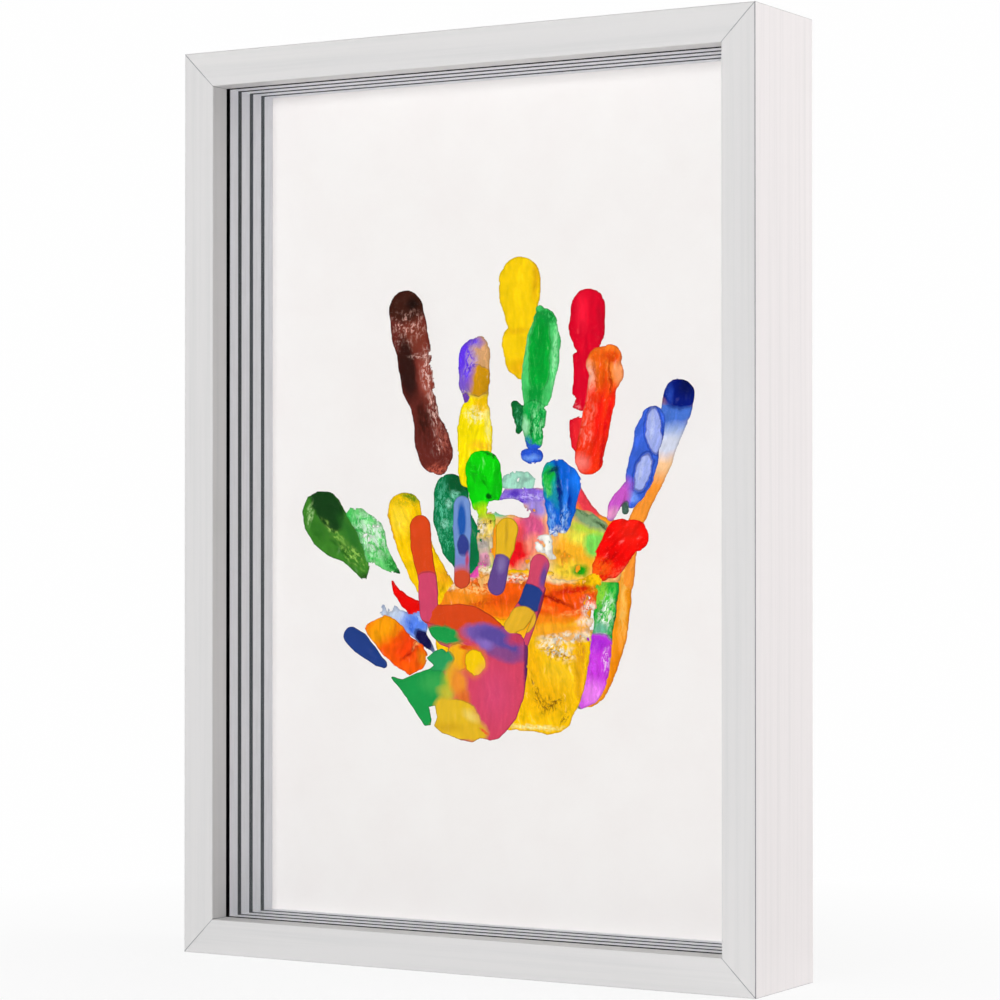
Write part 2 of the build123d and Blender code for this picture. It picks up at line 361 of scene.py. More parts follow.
# Steel hardware
steel = {
    "zinc": ("b9babc", 900.0),      # colour, and crystals per metre
    "nickel": ("c6c4bf", 300.0),
    "spangle": "9a9da1",            # the darker crystals of the coat
    "spangleBand": (0.0, 1.0, 0.0, 0.5),
    "tarnish": "7c7a74",
    "stain": (260.0, 4.0, 0.65),
    "stainBand": (0.55, 0.75, 0.0, 0.5),
    "roughness": 0.3,
    "roughBand": (0.3, 0.7, 0.24, 0.46),
    "scratches": (150, 150, 3000),
    "relief": (0.1, 0.02 * mm),
}


def steelMaterial(name, base, crystals):
    tree = Finish(name, steel["roughness"])
    tree.shader.inputs["Metallic"].default_value = 1.0
    cells = tree.add("TexVoronoi", {"Vector": tree.coords, "Scale": crystals}, "Color")
    patch = tree.add("SeparateColor", {0: cells})
    scratch = tree.clouds(tree.mapping(tree.coords, scale=steel["scratches"]), 1.0)
    stain = tree.clouds(tree.coords, *steel["stain"])
    face = tree.mix(tree.ramp(patch, *steel["spangleBand"]), screen(base), screen(steel["spangle"]))
    face = tree.mix(tree.ramp(stain, *steel["stainBand"]), face, screen(steel["tarnish"]))
    return tree.done(face, tree.bump(scratch, *steel["relief"]), tree.ramp(stain, *steel["roughBand"]))


zincPlate = steelMaterial("zincPlate", *steel["zinc"])
nickelWire = steelMaterial("nickelWire", *steel["nickel"])
plated = ("turn_button", "hanger_plate", "hanger_rivets")
dress([name for name in nodes if name.startswith(plated)], zincPlate)
dress([name for name in nodes if name.startswith("hanger_ring")] + ["v_nails"], nickelWire)
print("steel dressed")


# Handprints. The places and sizes in their tables are in mm, across and up the pane that carries the print.
# Each table starts with the looks of the whole print: the size of its cells, how ragged its outline is, how
# far its dabs are bent out of shape (warp), its relief, how strong its strokes, ridges (painted shade), lit
# streaks (painted highlights) and dark rim are, how wide the rim is, and how dark the line round a crisp
# dab.
# Gaps and dry spots stay bare.
# A run is a line of stations (across, up, half its width), a patch or gap is a list of corners, and a dry
# spot is (across, up, width, height, lean in degrees to the left, how dry). A dab of paint over a part's
# own paint is (across, up, width, height, lean, colour, softness of its edge), with a last number for a
# scratchy one, how much of it is left. A part may have a warp of its own, and a lean of its strokes.
babyPrint = {
    "cell": 0.34, "ragged": 0.1, "warp": 0.3, "relief": 0.08, "stroke": 0.1, "ridge": 0.1, "lit": 0.03,
    "rim": 0.62, "rimWidth": 0.42, "line": 0.5,
    "thumb": {"paint": "243f86", "runs": (
        ((-47.4, 110.4, 3.2), (-43.8, 108, 3.7), (-40.3, 105.2, 3), (-36.8, 102.4, 2),
         (-34.4, 100.9, 1.3)),
    )},
    "index": {"paint": "dc481a", "runs": (
        ((-19.9, 147.2, 4.1), (-19.5, 141, 4.1), (-18.2, 134.5, 3.7), (-17, 130, 3.6), (-16.7, 124, 3.8),
         (-16.3, 118.5, 3.6)),
    ), "dabs": (
        (-16.8, 124, 14, 17, 0, "d2466a", 0.07),
    )},
    "middle": {"paint": "7494d0", "runs": (
        ((-3.5, 154.6, 3.3), (-3.4, 147, 3.6), (-3.2, 139, 3), (-3.4, 134.5, 3), (-3.5, 130, 3.1)),
    ), "dabs": (
        (-3.5, 149.4, 3.2, 12, 0, "2258ae", 0.25), (-3, 141.2, 4.4, 7, 0, "34408e", 0.12),
        (-3.6, 135.6, 6, 4.4, 0, "7f86cc", 0.5), (-1.4, 136.4, 1.4, 5, 0, "c0486a", 0.5),
        (-3.6, 129.6, 10, 9, 0, "d24c2c", 0.3),
    )},
    "ring": {"paint": "e8b724", "runs": (
        ((13.9, 146.4, 4.2), (13.3, 141.5, 3.7), (12.3, 137.5, 3), (11.2, 133, 3.1), (9.8, 128, 3.3)),
    ), "dabs": (
        (13.8, 145, 1.2, 8, -4, "c79a1e", 0.6), (10.6, 131, 12, 15, -12, "64488e", 0.03),
        (11.8, 135, 3, 5, -12, "8470ac", 0.6),
    )},
    "little": {"paint": "d24868", "runs": (
        ((26.4, 134.9, 3.6), (25.4, 130.5, 3.2), (23.8, 125.5, 3.8), (21.8, 121.3, 3.6), (18.5, 117, 3.7),
         (15.6, 114.6, 2.8)),
        ((27.8, 127, 0.9), (25.8, 120, 0.9), (23.2, 114.4, 1.1), (21, 109, 1.2)),
    ), "dabs": (
        (27.8, 131, 2.4, 8, -14, "6c4690", 0.5), (22.8, 124.2, 12, 8.6, -22, "243e86", 0.03),
        (18.2, 116.2, 14, 9.6, 18, "e6b22a", 0.04), (27.2, 122, 1.8, 12, -18, "8a2850", 0.3),
    )},
    "palm": {"paint": "d54462", "warp": 0.8, "patches": (
        ((-20, 121.2), (-13.8, 121), (-4.8, 121.4), (1.7, 120.7), (7.2, 118), (11.2, 115.3),
         (14.2, 112.8), (19.2, 111.6), (21.6, 109), (21.3, 100), (19.8, 91), (17.2, 84.6), (13, 79.8),
         (10.2, 77.6), (7.2, 77.1), (3.4, 77.6), (0.7, 76.2), (-3.8, 76.7), (-10.8, 78.8), (-13.8, 80.9),
         (-12.7, 84), (-13.9, 87.9), (-16.9, 87.4), (-15.7, 83), (-16, 81.2), (-17.8, 81), (-20.5, 84.2),
         (-25, 90.2), (-28.6, 94.2), (-31, 96.7), (-26.8, 95.9), (-20.8, 98.2), (-15.8, 99.5), (-14, 101),
         (-16.8, 103.6), (-14.3, 105.4), (-11.3, 106.5), (-9.2, 104.9), (-8.2, 107.2), (-11.8, 108.4),
         (-15.1, 111.3), (-16.5, 114), (-17.4, 118)),
    ), "dabs": (
        (-4.8, 117.6, 36, 9.4, -7, "da481a", 0.1), (-10.4, 111.3, 14.5, 5.6, -10, "1c9c48", 0.18),
        (-2.4, 111.6, 6, 4.4, 0, "d6504e", 0.4), (4.6, 112, 15, 6, -8, "7a5cb0", 0.3),
        (11, 109, 19, 9, -22, "5c4a9c", 0.3), (12.2, 105.6, 13, 4, -12, "8a4a88", 0.4),
        (5.4, 108.6, 6, 3, -20, "8a6cc0", 0.5), (18.2, 110.6, 8, 3.4, 10, "c43c5e", 0.5),
        (21.1, 104, 1.7, 18, 0, "6a2a62", 0.4), (24.6, 118, 2.6, 17, -22, "7a2a50", 0.3),
        (-5, 104, 9, 9, 0, "f8b418", 0.16), (-1.6, 107.2, 6, 1.6, -4, "dc4a18", 0.4),
        (1.6, 102.4, 9, 10, 0, "ea7c1c", 0.3), (1.8, 102.3, 7.6, 8.6, 0, "facd0c", 0.06),
        (-20.8, 92, 24, 26, 0, "1c9a48", 0.03), (-12.3, 103.4, 11, 8.4, 0, "2a9e5a", 0.1),
        (-14.8, 95, 9, 6, 0, "38a850", 0.6), (-8.6, 95, 5, 10, 0, "94b83c", 0.5),
        (-7.4, 97.4, 4.4, 8, 0, "e0b428", 0.45), (-9.4, 92.2, 6, 4, 0, "c4bc38", 0.6),
        (-4.6, 94.8, 6, 12, 16, "f0922e", 0.4), (-2.6, 90.4, 5, 5, 0, "e06c2a", 0.5),
        (-5.8, 83, 19, 13.6, 0, "e8bc24", 0.05), (-9.6, 86.4, 9, 8.6, 0, "e6bb28", 0.24),
        (1.4, 79.4, 10, 7, 0, "e4b624", 0.24), (0, 84.6, 6, 3.4, -30, "f2d264", 0.6),
        (-8.8, 80.6, 10, 3, -4, "d8a81e", 0.6), (5.4, 79.6, 3.4, 0.7, -34, "ea6830", 0.4),
        (9.2, 92, 12, 16, 0, "da4a72", 0.7),
    )},
}
childPrint = {
    "cell": 0.42, "ragged": 0.24, "warp": 0.9, "relief": 0.3, "stroke": 0.3, "ridge": 0.3, "lit": 0.25,
    "rim": 0.4, "rimWidth": 0.6, "line": 0.4,
    "gaps": (
        ((1.8, 151.5), (2.8, 156), (8.2, 156.6), (12.2, 154.8), (16.2, 150.8), (13.2, 150), (7.2, 151.4)),
        ((4.4, 147), (6.4, 149), (6.6, 141), (5.4, 134), (4.1, 139)),
    ),
    "dry": (
        (1.2, 145, 9, 16, 0, 0.4), (33.2, 110.8, 18, 3, 3, 0.62), (28.7, 107.5, 8, 5, 0, 0.4),
        (29.2, 144, 10, 5, 0, 0.75), (3.2, 129.8, 40, 4, 0, 0.55), (43.2, 129, 10, 5, 20, 0.5),
        (-14.8, 127.5, 8, 5, 0, 0.3), (24.2, 141.5, 9, 8, 0, 0.35), (42, 117.5, 5, 19, 0, 0.62),
    ),
    "thumb": {"paint": "ff5c06", "patches": (
        ((-46, 113.4), (-41.8, 115.6), (-38.3, 116.8), (-34.1, 115.6), (-30, 111.3), (-23.5, 107),
         (-21.7, 103), (-23.1, 99.8), (-28.3, 97.5), (-35.8, 101.5), (-42.3, 107.4), (-45.6, 111.2)),
    ), "dabs": (
        (-39.8, 112.6, 18, 8.6, 34, "ffa00a", 0.45), (-31.8, 113.4, 8, 3, 30, "ff8606", 0.5),
        (-29.4, 106.6, 12, 7, 40, "f4420a", 0.6), (-28.4, 105, 9, 1.6, 42, "b81e04", 0.5, 0.7),
        (-24.6, 104.6, 1.6, 8, 20, "c82204", 0.5, 0.7), (-22.8, 103, 3.6, 6, 30, "f88a10", 0.6),
        (-24.8, 108.4, 6, 1.4, 45, "ffb060", 0.5, 0.6),
    )},
    "index": {"paint": "fdcc05", "runs": (
        ((-30.6, 152.8, 6.5), (-28.8, 146, 6.6), (-25.6, 139, 6.5), (-21.3, 132, 6.8), (-17.8, 126, 6.8)),
    ), "dabs": (
        (-32.2, 150, 7, 9, 10, "ffdb30", 0.6), (-28, 157.4, 7.4, 2.6, -12, "5c8a12", 0.5, 0.85),
        (-29.4, 155.4, 9, 3, 0, "d8b810", 0.6, 0.7), (-14.8, 130.5, 6, 6, 0, "f4aa14", 0.6),
        (-35.8, 146, 2, 14, 14, "f0b408", 0.5),
    )},
    "middle": {"paint": "0cd80a", "runs": (
        ((0.7, 166.4, 6.8), (1.2, 161, 7), (1.4, 156.5, 5.4), (1.7, 153, 3.6)),
        ((1.6, 150, 3.5), (1.5, 144, 3.4), (1.7, 138, 3), (2, 131, 3.4)),
    ), "dabs": (
        (5.8, 161, 4, 14, -6, "08b40c", 0.5, 0.8), (-3.8, 166, 3, 10, 20, "10b010", 0.5, 0.7),
        (0.8, 163, 1.6, 9, 30, "089608", 0.5, 0.55), (2.8, 158, 2.8, 1.8, 20, "04540c", 0.3),
        (3.2, 172.2, 8, 2, -20, "0a5a10", 0.5, 0.6), (1.6, 153, 10, 4.6, 0, "b8e412", 0.5),
        (1.6, 145.6, 9, 11, 0, "f4d24c", 0.25), (0.6, 141.6, 7, 4.4, 0, "c0b6ac", 0.5),
        (1.2, 137.4, 7, 4.6, 0, "eaa4bc", 0.5), (4, 138, 2, 9, 0, "f6dc84", 0.5),
        (-0.8, 147, 5, 5, 0, "fdf0d8", 0.5, 0.7), (4, 142, 3, 8, 0, "fbe9c0", 0.5, 0.7),
        (-0.6, 134.4, 6, 3, 10, "f060bc", 0.5, 0.8), (1.6, 148.6, 9, 1.6, 10, "58400c", 0.5, 0.5),
        (1.2, 130, 14, 7, 0, "f8a848", 0.3), (1, 133, 8, 2.4, 0, "fceccc", 0.5, 0.7),
    )},
    "ring": {"paint": "0d62d6", "runs": (
        ((29.2, 163.6, 6.2), (30.8, 161.3, 7.2), (30.2, 155, 6.1), (29.8, 149.5, 4.7),
         (29.2, 146.8, 3.4)),
    ), "dabs": (
        (26.2, 163, 6.6, 11, 8, "14b43c", 0.3), (25.6, 160, 3, 6, 8, "5cd070", 0.5, 0.6),
        (28.6, 158.6, 3, 9, 8, "1c9ab4", 0.5), (29.6, 160.6, 2, 15, 8, "06287c", 0.45, 0.9),
        (27.4, 166.6, 5, 1.6, 20, "063c50", 0.5, 0.9), (34.4, 157, 2, 14, -10, "0636a4", 0.5, 0.8),
        (32.2, 155, 2.2, 12, -2, "2c86f0", 0.5, 0.8), (30.6, 152, 1.4, 10, 6, "0a3a96", 0.5, 0.7),
        (36, 162, 3.6, 9, 0, "1a7af4", 0.5), (26.8, 150, 3, 9, 0, "6ea8ea", 0.5, 0.6),
        (31.8, 150, 3, 9, -8, "9cc4f2", 0.5, 0.5), (29.8, 145.6, 11, 3.4, 0, "e6eef6", 0.5, 0.6),
    )},
    "ringRoot": {"paint": "f8f7ee", "patches": (
        ((20.4, 141.3), (21.8, 144), (24.2, 144.9), (26.6, 144.4), (27.6, 142), (26.8, 139.6),
         (28.2, 137), (26.4, 136.6), (24.6, 138.9), (21.6, 139.2)),
    ), "dabs": (
        (24.2, 141.8, 8, 6, 10, "6c7664", 0.5, 0.12),
    )},
    "little": {"paint": "fc0a06", "runs": (
        ((57.7, 144.6, 5.4), (53.2, 143.5, 6.8), (49.2, 137, 6.2), (45.8, 133.6, 3.8)),
    ), "dabs": (
        (56.2, 146, 8, 9, 30, "ff2012", 0.6), (48.8, 138, 5, 12, -35, "dc0404", 0.5, 0.7),
        (44.8, 133.6, 9, 6, 0, "fc5c10", 0.5, 0.8), (52.2, 133, 8, 2.4, 35, "ff5a3c", 0.5, 0.6),
    )},
    "palm": {"paint": "ffc70a", "lean": 10, "runs": (
        ((11.2, 132, 1.2), (17.2, 131.6, 1.6), (26.2, 131.5, 1.5)),
    ), "patches": (
        ((-17.3, 128.3), (-10.8, 127.9), (-5.8, 129.2), (-0.8, 130.6), (4.2, 131), (11.2, 131.6),
         (19.2, 131), (24.2, 131.3), (29.2, 130.2), (34.2, 129.6), (39.2, 130.4), (43.2, 132.4),
         (46.2, 132.8), (45.6, 129.8), (45, 127), (43.6, 124.6), (43.4, 121), (42.4, 116), (41.6, 112.2),
         (41, 108), (40, 102), (39, 95), (37.5, 91), (35.4, 87), (33.5, 82.2), (30.2, 80.2), (25.2, 79.3),
         (19.2, 80.3), (11.2, 80), (4.2, 80.8), (-3.8, 86), (-9.8, 92), (-14.8, 100), (-17.8, 108),
         (-18.3, 118)),
    ), "dabs": (
        (9.2, 124.4, 68, 15, -1, "fb7210", 0.12), (8.2, 125.4, 20, 9, 0, "f45a0a", 0.4),
        (31.2, 121.4, 30, 10, 6, "f95205", 0.3), (35.2, 126.6, 16, 2.2, 10, "dc2806", 0.5, 0.85),
        (27.6, 123.6, 14, 1.5, -18, "a81c04", 0.5, 0.8), (24, 120.6, 10, 2.2, -8, "ff7a24", 0.5, 0.7),
        (34.4, 119, 12, 2, 12, "ffa058", 0.5, 0.6), (-8.8, 124, 18, 7, 0, "fb901c", 0.5),
        (41.6, 120, 5, 8, 30, "fff2e4", 0.5, 0.7), (39.6, 114.4, 7, 6, 30, "fffaf2", 0.5, 0.75),
        (41, 124.4, 7, 2.4, 30, "f04a10", 0.5, 0.75), (-4.2, 126.8, 18, 3, -4, "ffc070", 0.5, 0.6),
        (3, 122.4, 22, 2.4, 8, "e0500a", 0.5, 0.6), (-12.8, 127.4, 9, 2.6, 0, "fde8c4", 0.5, 0.6),
        (7.2, 130.6, 34, 2.2, 0, "fef2e0", 0.6, 0.62), (30.2, 130.4, 12, 2.8, 0, "fcd8a0", 0.5),
        (23.2, 116.4, 22, 4, 4, "fb8a14", 0.5), (29.2, 113.4, 30, 4, 4, "fda824", 0.5),
        (33.2, 110.8, 17, 3, 3, "fefaf0", 0.5, 0.72), (28.8, 107, 12, 6, -18, "fdf6e4", 0.5, 0.55),
        (29.8, 105.4, 13, 6, -20, "b8761a", 0.5, 0.42), (37.6, 105.6, 3.6, 11, 0, "e2961a", 0.5, 0.7),
        (28.2, 98, 15, 9, 0, "fdcb24", 0.7), (20.4, 101, 5, 14, 6, "f6b60e", 0.6),
        (25, 92, 16, 12, 0, "f8b90e", 0.6), (37.4, 97, 3.6, 17, 6, "f0ae10", 0.5),
        (21.4, 93, 2.4, 12, 22, "8a5a06", 0.5, 0.45), (23.6, 89, 3, 7, 50, "8a5606", 0.5, 0.5),
        (27, 88.4, 9, 1.6, 30, "7c4e08", 0.5, 0.55), (27, 88.6, 1.6, 6, 20, "7c4e08", 0.5, 0.55),
        (26.6, 88.4, 10, 7, 0, "946408", 0.6, 0.3), (31.8, 84.4, 1.8, 6, -30, "8a5a10", 0.5, 0.5),
        (19.8, 81, 19, 1.5, 0, "fef0a0", 0.6, 0.7),
    )},
}
motherPrint = {
    "cell": 0.47, "ragged": 0.18, "warp": 0.9, "relief": 0.35, "stroke": 0.28, "ridge": 0.3, "lit": 0.22,
    "rim": 0.4, "rimWidth": 0.7, "line": 0.5,
    "gaps": (
        ((1, 152.6), (1.6, 156), (4.5, 156.8), (8.2, 156.8), (11.7, 155.6), (14.4, 150.8), (12.2, 150.2),
         (7.2, 151.5), (3.4, 151.8)),
        ((0.4, 148), (1.8, 147), (2.1, 140), (0.8, 133.5), (-1.2, 134), (0, 141)),
    ),
    "dry": (
        (-47.8, 143, 16, 18, 35, 0.16), (-2.8, 144, 14, 16, 0, 0.5), (19.2, 135, 20, 9, 0, 0.3),
        (9.2, 163.6, 14, 5, 0, 0.12), (20.7, 179, 3, 14, 0, 0.42), (9.2, 153.6, 14, 3, -10, 0.42),
        (44.8, 104, 3, 18, 0, 0.3),
    ),
    "thumb": {"paint": "70dc78", "patches": (
        ((-58.4, 151.8), (-57, 153.9), (-52.8, 153.6), (-48.8, 151.5), (-45, 148.8), (-43.3, 146),
         (-42.4, 141), (-40.2, 136.8), (-37, 131.6), (-41.3, 132.4), (-46.8, 134.9), (-50.3, 135.7),
         (-51.1, 139.2), (-54, 145.5)),
    ), "dabs": (
        (-55.2, 148, 5, 12, 34, "2cb848", 0.5, 0.8), (-46.8, 137.6, 13, 4, 40, "3cc44c", 0.5, 0.7),
        (-47.8, 145, 13, 14, 35, "def8e0", 0.6, 0.66), (-43.2, 146, 2, 9, 12, "2fb84a", 0.5, 0.5),
        (-50, 150.6, 10, 2, 20, "3fc45a", 0.5, 0.6), (-52.4, 142, 2, 10, 30, "2da846", 0.5, 0.6),
        (-40.2, 134.6, 4, 9, 45, "289c3a", 0.5, 0.75), (-37.4, 131.8, 3, 2.4, 0, "1f6a2c", 0.5),
    )},
    "index": {"paint": "ffe604", "runs": (
        ((-5.4, 208.2, 3.6), (-7, 205.2, 6), (-7.1, 197, 6.2), (-6.4, 192.4, 4.9), (-6.2, 188.8, 4.4),
         (-6.7, 185.4, 6), (-6.9, 180, 6.9), (-7, 173, 6.7), (-8.3, 167, 5.2), (-9.8, 163.5, 3)),
    ), "dabs": (
        (-3.8, 188.6, 7, 8, 0, "f6c408", 0.5), (-6.4, 185, 7, 5, 0, "fff4ac", 0.5, 0.6),
        (-4.2, 174.8, 9, 3.4, 0, "fac61c", 0.5, 0.8), (-1.6, 181, 2.4, 12, 4, "fff07a", 0.5, 0.7),
        (-5.8, 202.4, 18, 21, 0, "cf9c62", 0.12), (-4.4, 206.4, 6, 8, 0, "d8a26e", 0.5),
        (-5.6, 197.2, 10, 10.4, 0, "cf930e", 0.08), (-11.4, 203.6, 8, 19, 4, "6638f0", 0.3),
        (-8.8, 210.4, 9, 3.4, -14, "6c48dc", 0.4), (-11.8, 196, 4, 9, 0, "7c58d0", 0.5, 0.85),
        (-8.2, 204, 4, 11, -18, "c4a4c4", 0.5, 0.62), (-8.6, 201.4, 5, 2, 20, "5a34c8", 0.5, 0.6),
        (-10.6, 191.2, 3.2, 3.4, 0, "7244b0", 0.12),
    )},
    "middle": {"paint": "4ed06e", "runs": (
        ((18.4, 220, 1.5), (20.4, 215.8, 4.5), (19.7, 209.5, 6.5), (18.6, 201, 6.9), (17.4, 193.8, 6),
         (16.4, 188, 4.5), (16, 181, 4.3), (16.2, 176.2, 3.4)),
        ((13.2, 171.6, 2.1), (15.4, 171, 2.7), (17.6, 170.9, 2.1)),
    ), "dabs": (
        (18.4, 205.4, 8.2, 27, -3, "06a834", 0.14), (19.2, 209, 3.4, 15, -4, "04962c", 0.5, 0.7),
        (16.6, 191.6, 7, 8, 0, "0a9e38", 0.4), (16.4, 182, 11, 16, 0, "10aa46", 0.2),
        (17.2, 181, 6, 14, 0, "86e29a", 0.5, 0.5), (12.8, 181, 2.6, 6, 0, "a4ecb4", 0.5),
        (24.2, 204, 1.8, 24, -4, "9af0aa", 0.5, 0.7), (12.8, 209, 1.8, 16, -6, "8ce49c", 0.5, 0.6),
        (21, 217.6, 8, 6, 0, "0c9436", 0.5, 0.8), (15.4, 180, 1.2, 10, 0, "08702c", 0.5, 0.7),
        (18.6, 184, 1.2, 9, 0, "08702c", 0.5, 0.6), (15.6, 171.1, 15, 7.4, 0, "2856d8", 0.12),
        (15, 170.6, 6, 1.8, 0, "6c9cf2", 0.6), (14, 175.4, 3, 4, 0, "2c5cc8", 0.5, 0.7),
    )},
    "ring": {"paint": "fc3410", "runs": (
        ((45.2, 203.4, 4.2), (42.4, 201, 6.2), (43.8, 198, 6.2), (41.8, 193, 5.4), (41.4, 188.5, 5.5),
         (39.8, 182, 5.5), (38.2, 175.4, 5.5), (37, 169.8, 5.2)),
    ), "dabs": (
        (43.2, 201.4, 18, 15, 0, "ff8426", 0.3), (37.4, 197.4, 4, 9, 0, "ffb094", 0.5, 0.9),
        (48.6, 198.4, 4, 9, 0, "ff9c60", 0.5), (42.2, 197, 4, 20, 2, "f4580c", 0.5, 0.9),
        (46, 203.6, 7, 4.4, -20, "ea4c0a", 0.4, 0.9), (39.6, 203.8, 3, 6, 40, "f06010", 0.5, 0.8),
        (45, 196.4, 1.2, 13, 0, "c83a08", 0.5, 0.8), (39.8, 196, 1.2, 12, 6, "d44a0c", 0.5, 0.7),
        (41, 183, 3, 22, -10, "fb1c10", 0.6), (37, 186, 5, 16, -8, "ff6c58", 0.5, 0.55),
        (44, 182, 2.4, 18, -12, "ee0e12", 0.5, 0.8), (36, 178, 4, 10, -12, "ff8878", 0.5, 0.45),
        (42.4, 171, 2, 12, -14, "dc0c14", 0.5, 0.8), (34.2, 168.8, 5.4, 5, 20, "ff7c70", 0.7),
    )},
    "little": {"paint": "3c66dc", "runs": (
        ((61.2, 182.8, 4.3), (59.4, 177.5, 5.3), (58.8, 174, 4.9), (57.6, 169.4, 5.3), (56, 163.6, 5.2),
         (54.6, 159.4, 3.9), (52.8, 156.4, 2.7)),
        ((51.2, 161, 1.1), (48.8, 157.6, 1.9), (46.6, 153.8, 2.2), (45.4, 150.6, 1.4)),
        ((50.2, 154.4, 0.8), (50.8, 152.8, 1.3)),
    ), "dabs": (
        (61.4, 179, 7.4, 15.6, 6, "2e52cc", 0.1), (61.4, 179, 5.8, 14, 6, "a0aeee", 0.1),
        (57.2, 165.4, 7.4, 14.6, -16, "2e52cc", 0.1), (57.2, 165.4, 5.8, 13, -16, "a4b2f0", 0.1),
        (60.6, 180, 1.4, 9, 0, "c4cef8", 0.5, 0.7), (56.4, 166, 1.4, 8, -14, "c4cef8", 0.5, 0.7),
        (53.4, 157.2, 5, 3.6, -30, "6c94ee", 0.3), (47.6, 156.4, 8, 14, -32, "cc58c8", 0.35),
        (45.8, 151.6, 5, 4, 0, "f09ad0", 0.6), (50.6, 153.2, 3.4, 4.4, 0, "48685a", 0.2),
    )},
    "palm": {"paint": "f8b868", "patches": (
        ((-7.6, 131.6), (-4.6, 135), (-4.4, 151), (0.7, 152.6), (3.4, 157.6), (5.2, 160.2), (12.2, 160.7),
         (19.7, 160), (25.2, 156), (32.2, 153.3), (38.2, 152), (43.2, 148.8), (46.2, 144), (49.2, 136),
         (48.6, 130), (39.2, 128.6), (34.2, 122), (32.8, 104), (29.2, 92), (21.2, 92), (11.2, 93),
         (-0.8, 96), (-9.8, 104), (-14.8, 115), (-14.8, 128)),
    ), "dabs": (
        (11.2, 157.9, 24, 6.2, 0, "8a64dc", 0.22), (13.2, 157.6, 17, 3, -4, "c4b4f4", 0.5, 0.55),
        (12, 156, 14, 1.6, -6, "5a38c0", 0.5, 0.7), (8.6, 158.8, 5, 2.4, 0, "5c3cc4", 0.5),
        (16.8, 153.4, 8, 6, 0, "a890e2", 0.4), (14.8, 146.8, 13, 10, 0, "e05a8c", 0.3),
        (9.8, 145.8, 6, 7, 0, "f04c54", 0.5), (10.2, 138.2, 11, 10, 24, "f2141e", 0.22),
        (15.8, 141.4, 6, 7, 0, "ff9078", 0.5), (19.2, 133.6, 16, 7, 0, "fdd4aa", 0.4),
        (2.8, 152.2, 5, 3.4, 0, "84d4a4", 0.5), (-3.2, 147.4, 12, 9, 0, "f4ce58", 0.3),
        (-3.8, 142, 8, 4.4, 0, "bdb4ae", 0.4), (-3.2, 138.4, 8, 5, 0, "f09cc4", 0.4),
        (-5.2, 133, 13, 4, 24, "ea50b2", 0.3), (32.2, 138.4, 18, 16, 0, "fdb626", 0.25),
        (29.2, 133, 14, 6, 0, "fdd838", 0.5), (33.2, 144.6, 10, 5, -20, "e8e048", 0.6),
        (27.6, 138, 3.4, 9, 0, "fba428", 0.5, 0.7), (39.6, 142, 8, 9.6, -16, "80de58", 0.25),
        (35.6, 147, 12, 3, -14, "c0dc44", 0.5), (33.8, 132.9, 6, 3.8, 0, "1c9c10", 0.4),
        (37.2, 150, 18, 4.6, -22, "86a878", 0.35), (42.6, 147.4, 9, 1.2, -30, "365230", 0.5, 0.8),
        (34.8, 152, 8, 1.2, -14, "5c8050", 0.5, 0.6),
    )},
    "smear": {"paint": "a8e2ca", "warp": 0.4, "patches": (
        ((3.2, 161.2), (4.8, 164), (8.6, 165.8), (13.4, 165.6), (16.4, 163.4), (15.4, 160.4), (7, 160)),
    )},
    "edge": {"paint": "1eb23c", "patches": (
        ((41, 128.8), (44.2, 129.4), (48.2, 128.8), (47.2, 120), (45.5, 112), (45.2, 106), (43.7, 97),
         (42.1, 92.3), (39.2, 89.3), (34.2, 87.4), (32.8, 87.9), (35.2, 95), (37.6, 103), (37.2, 108),
         (36.6, 112), (38.6, 112.4), (39.4, 115), (39.2, 122), (38.2, 127)),
    ), "dabs": (
        (43.6, 121.6, 13, 20.6, -3, "16b836", 0.12), (41.8, 125.4, 4, 9, -22, "90dc3c", 0.5, 0.85),
        (44.6, 120, 2.6, 15, -14, "84e068", 0.5, 0.6), (43.2, 117, 5, 14, -12, "f6faf0", 0.5, 0.55),
        (41.8, 114, 6, 4, 0, "68b490", 0.5), (47.1, 118, 1.3, 18, -6, "0d7632", 0.5),
        (40, 98.6, 22, 27.4, 0, "d23ce6", 0.06), (38.8, 92, 13, 9, -24, "f080f4", 0.5),
        (40.2, 109, 9, 5, 0, "b42cde", 0.5), (43.6, 103, 2.6, 8, -8, "fbd4fa", 0.5, 0.5),
        (38.6, 103, 2.4, 12, -12, "d650f0", 0.5, 0.6),
    )},
}
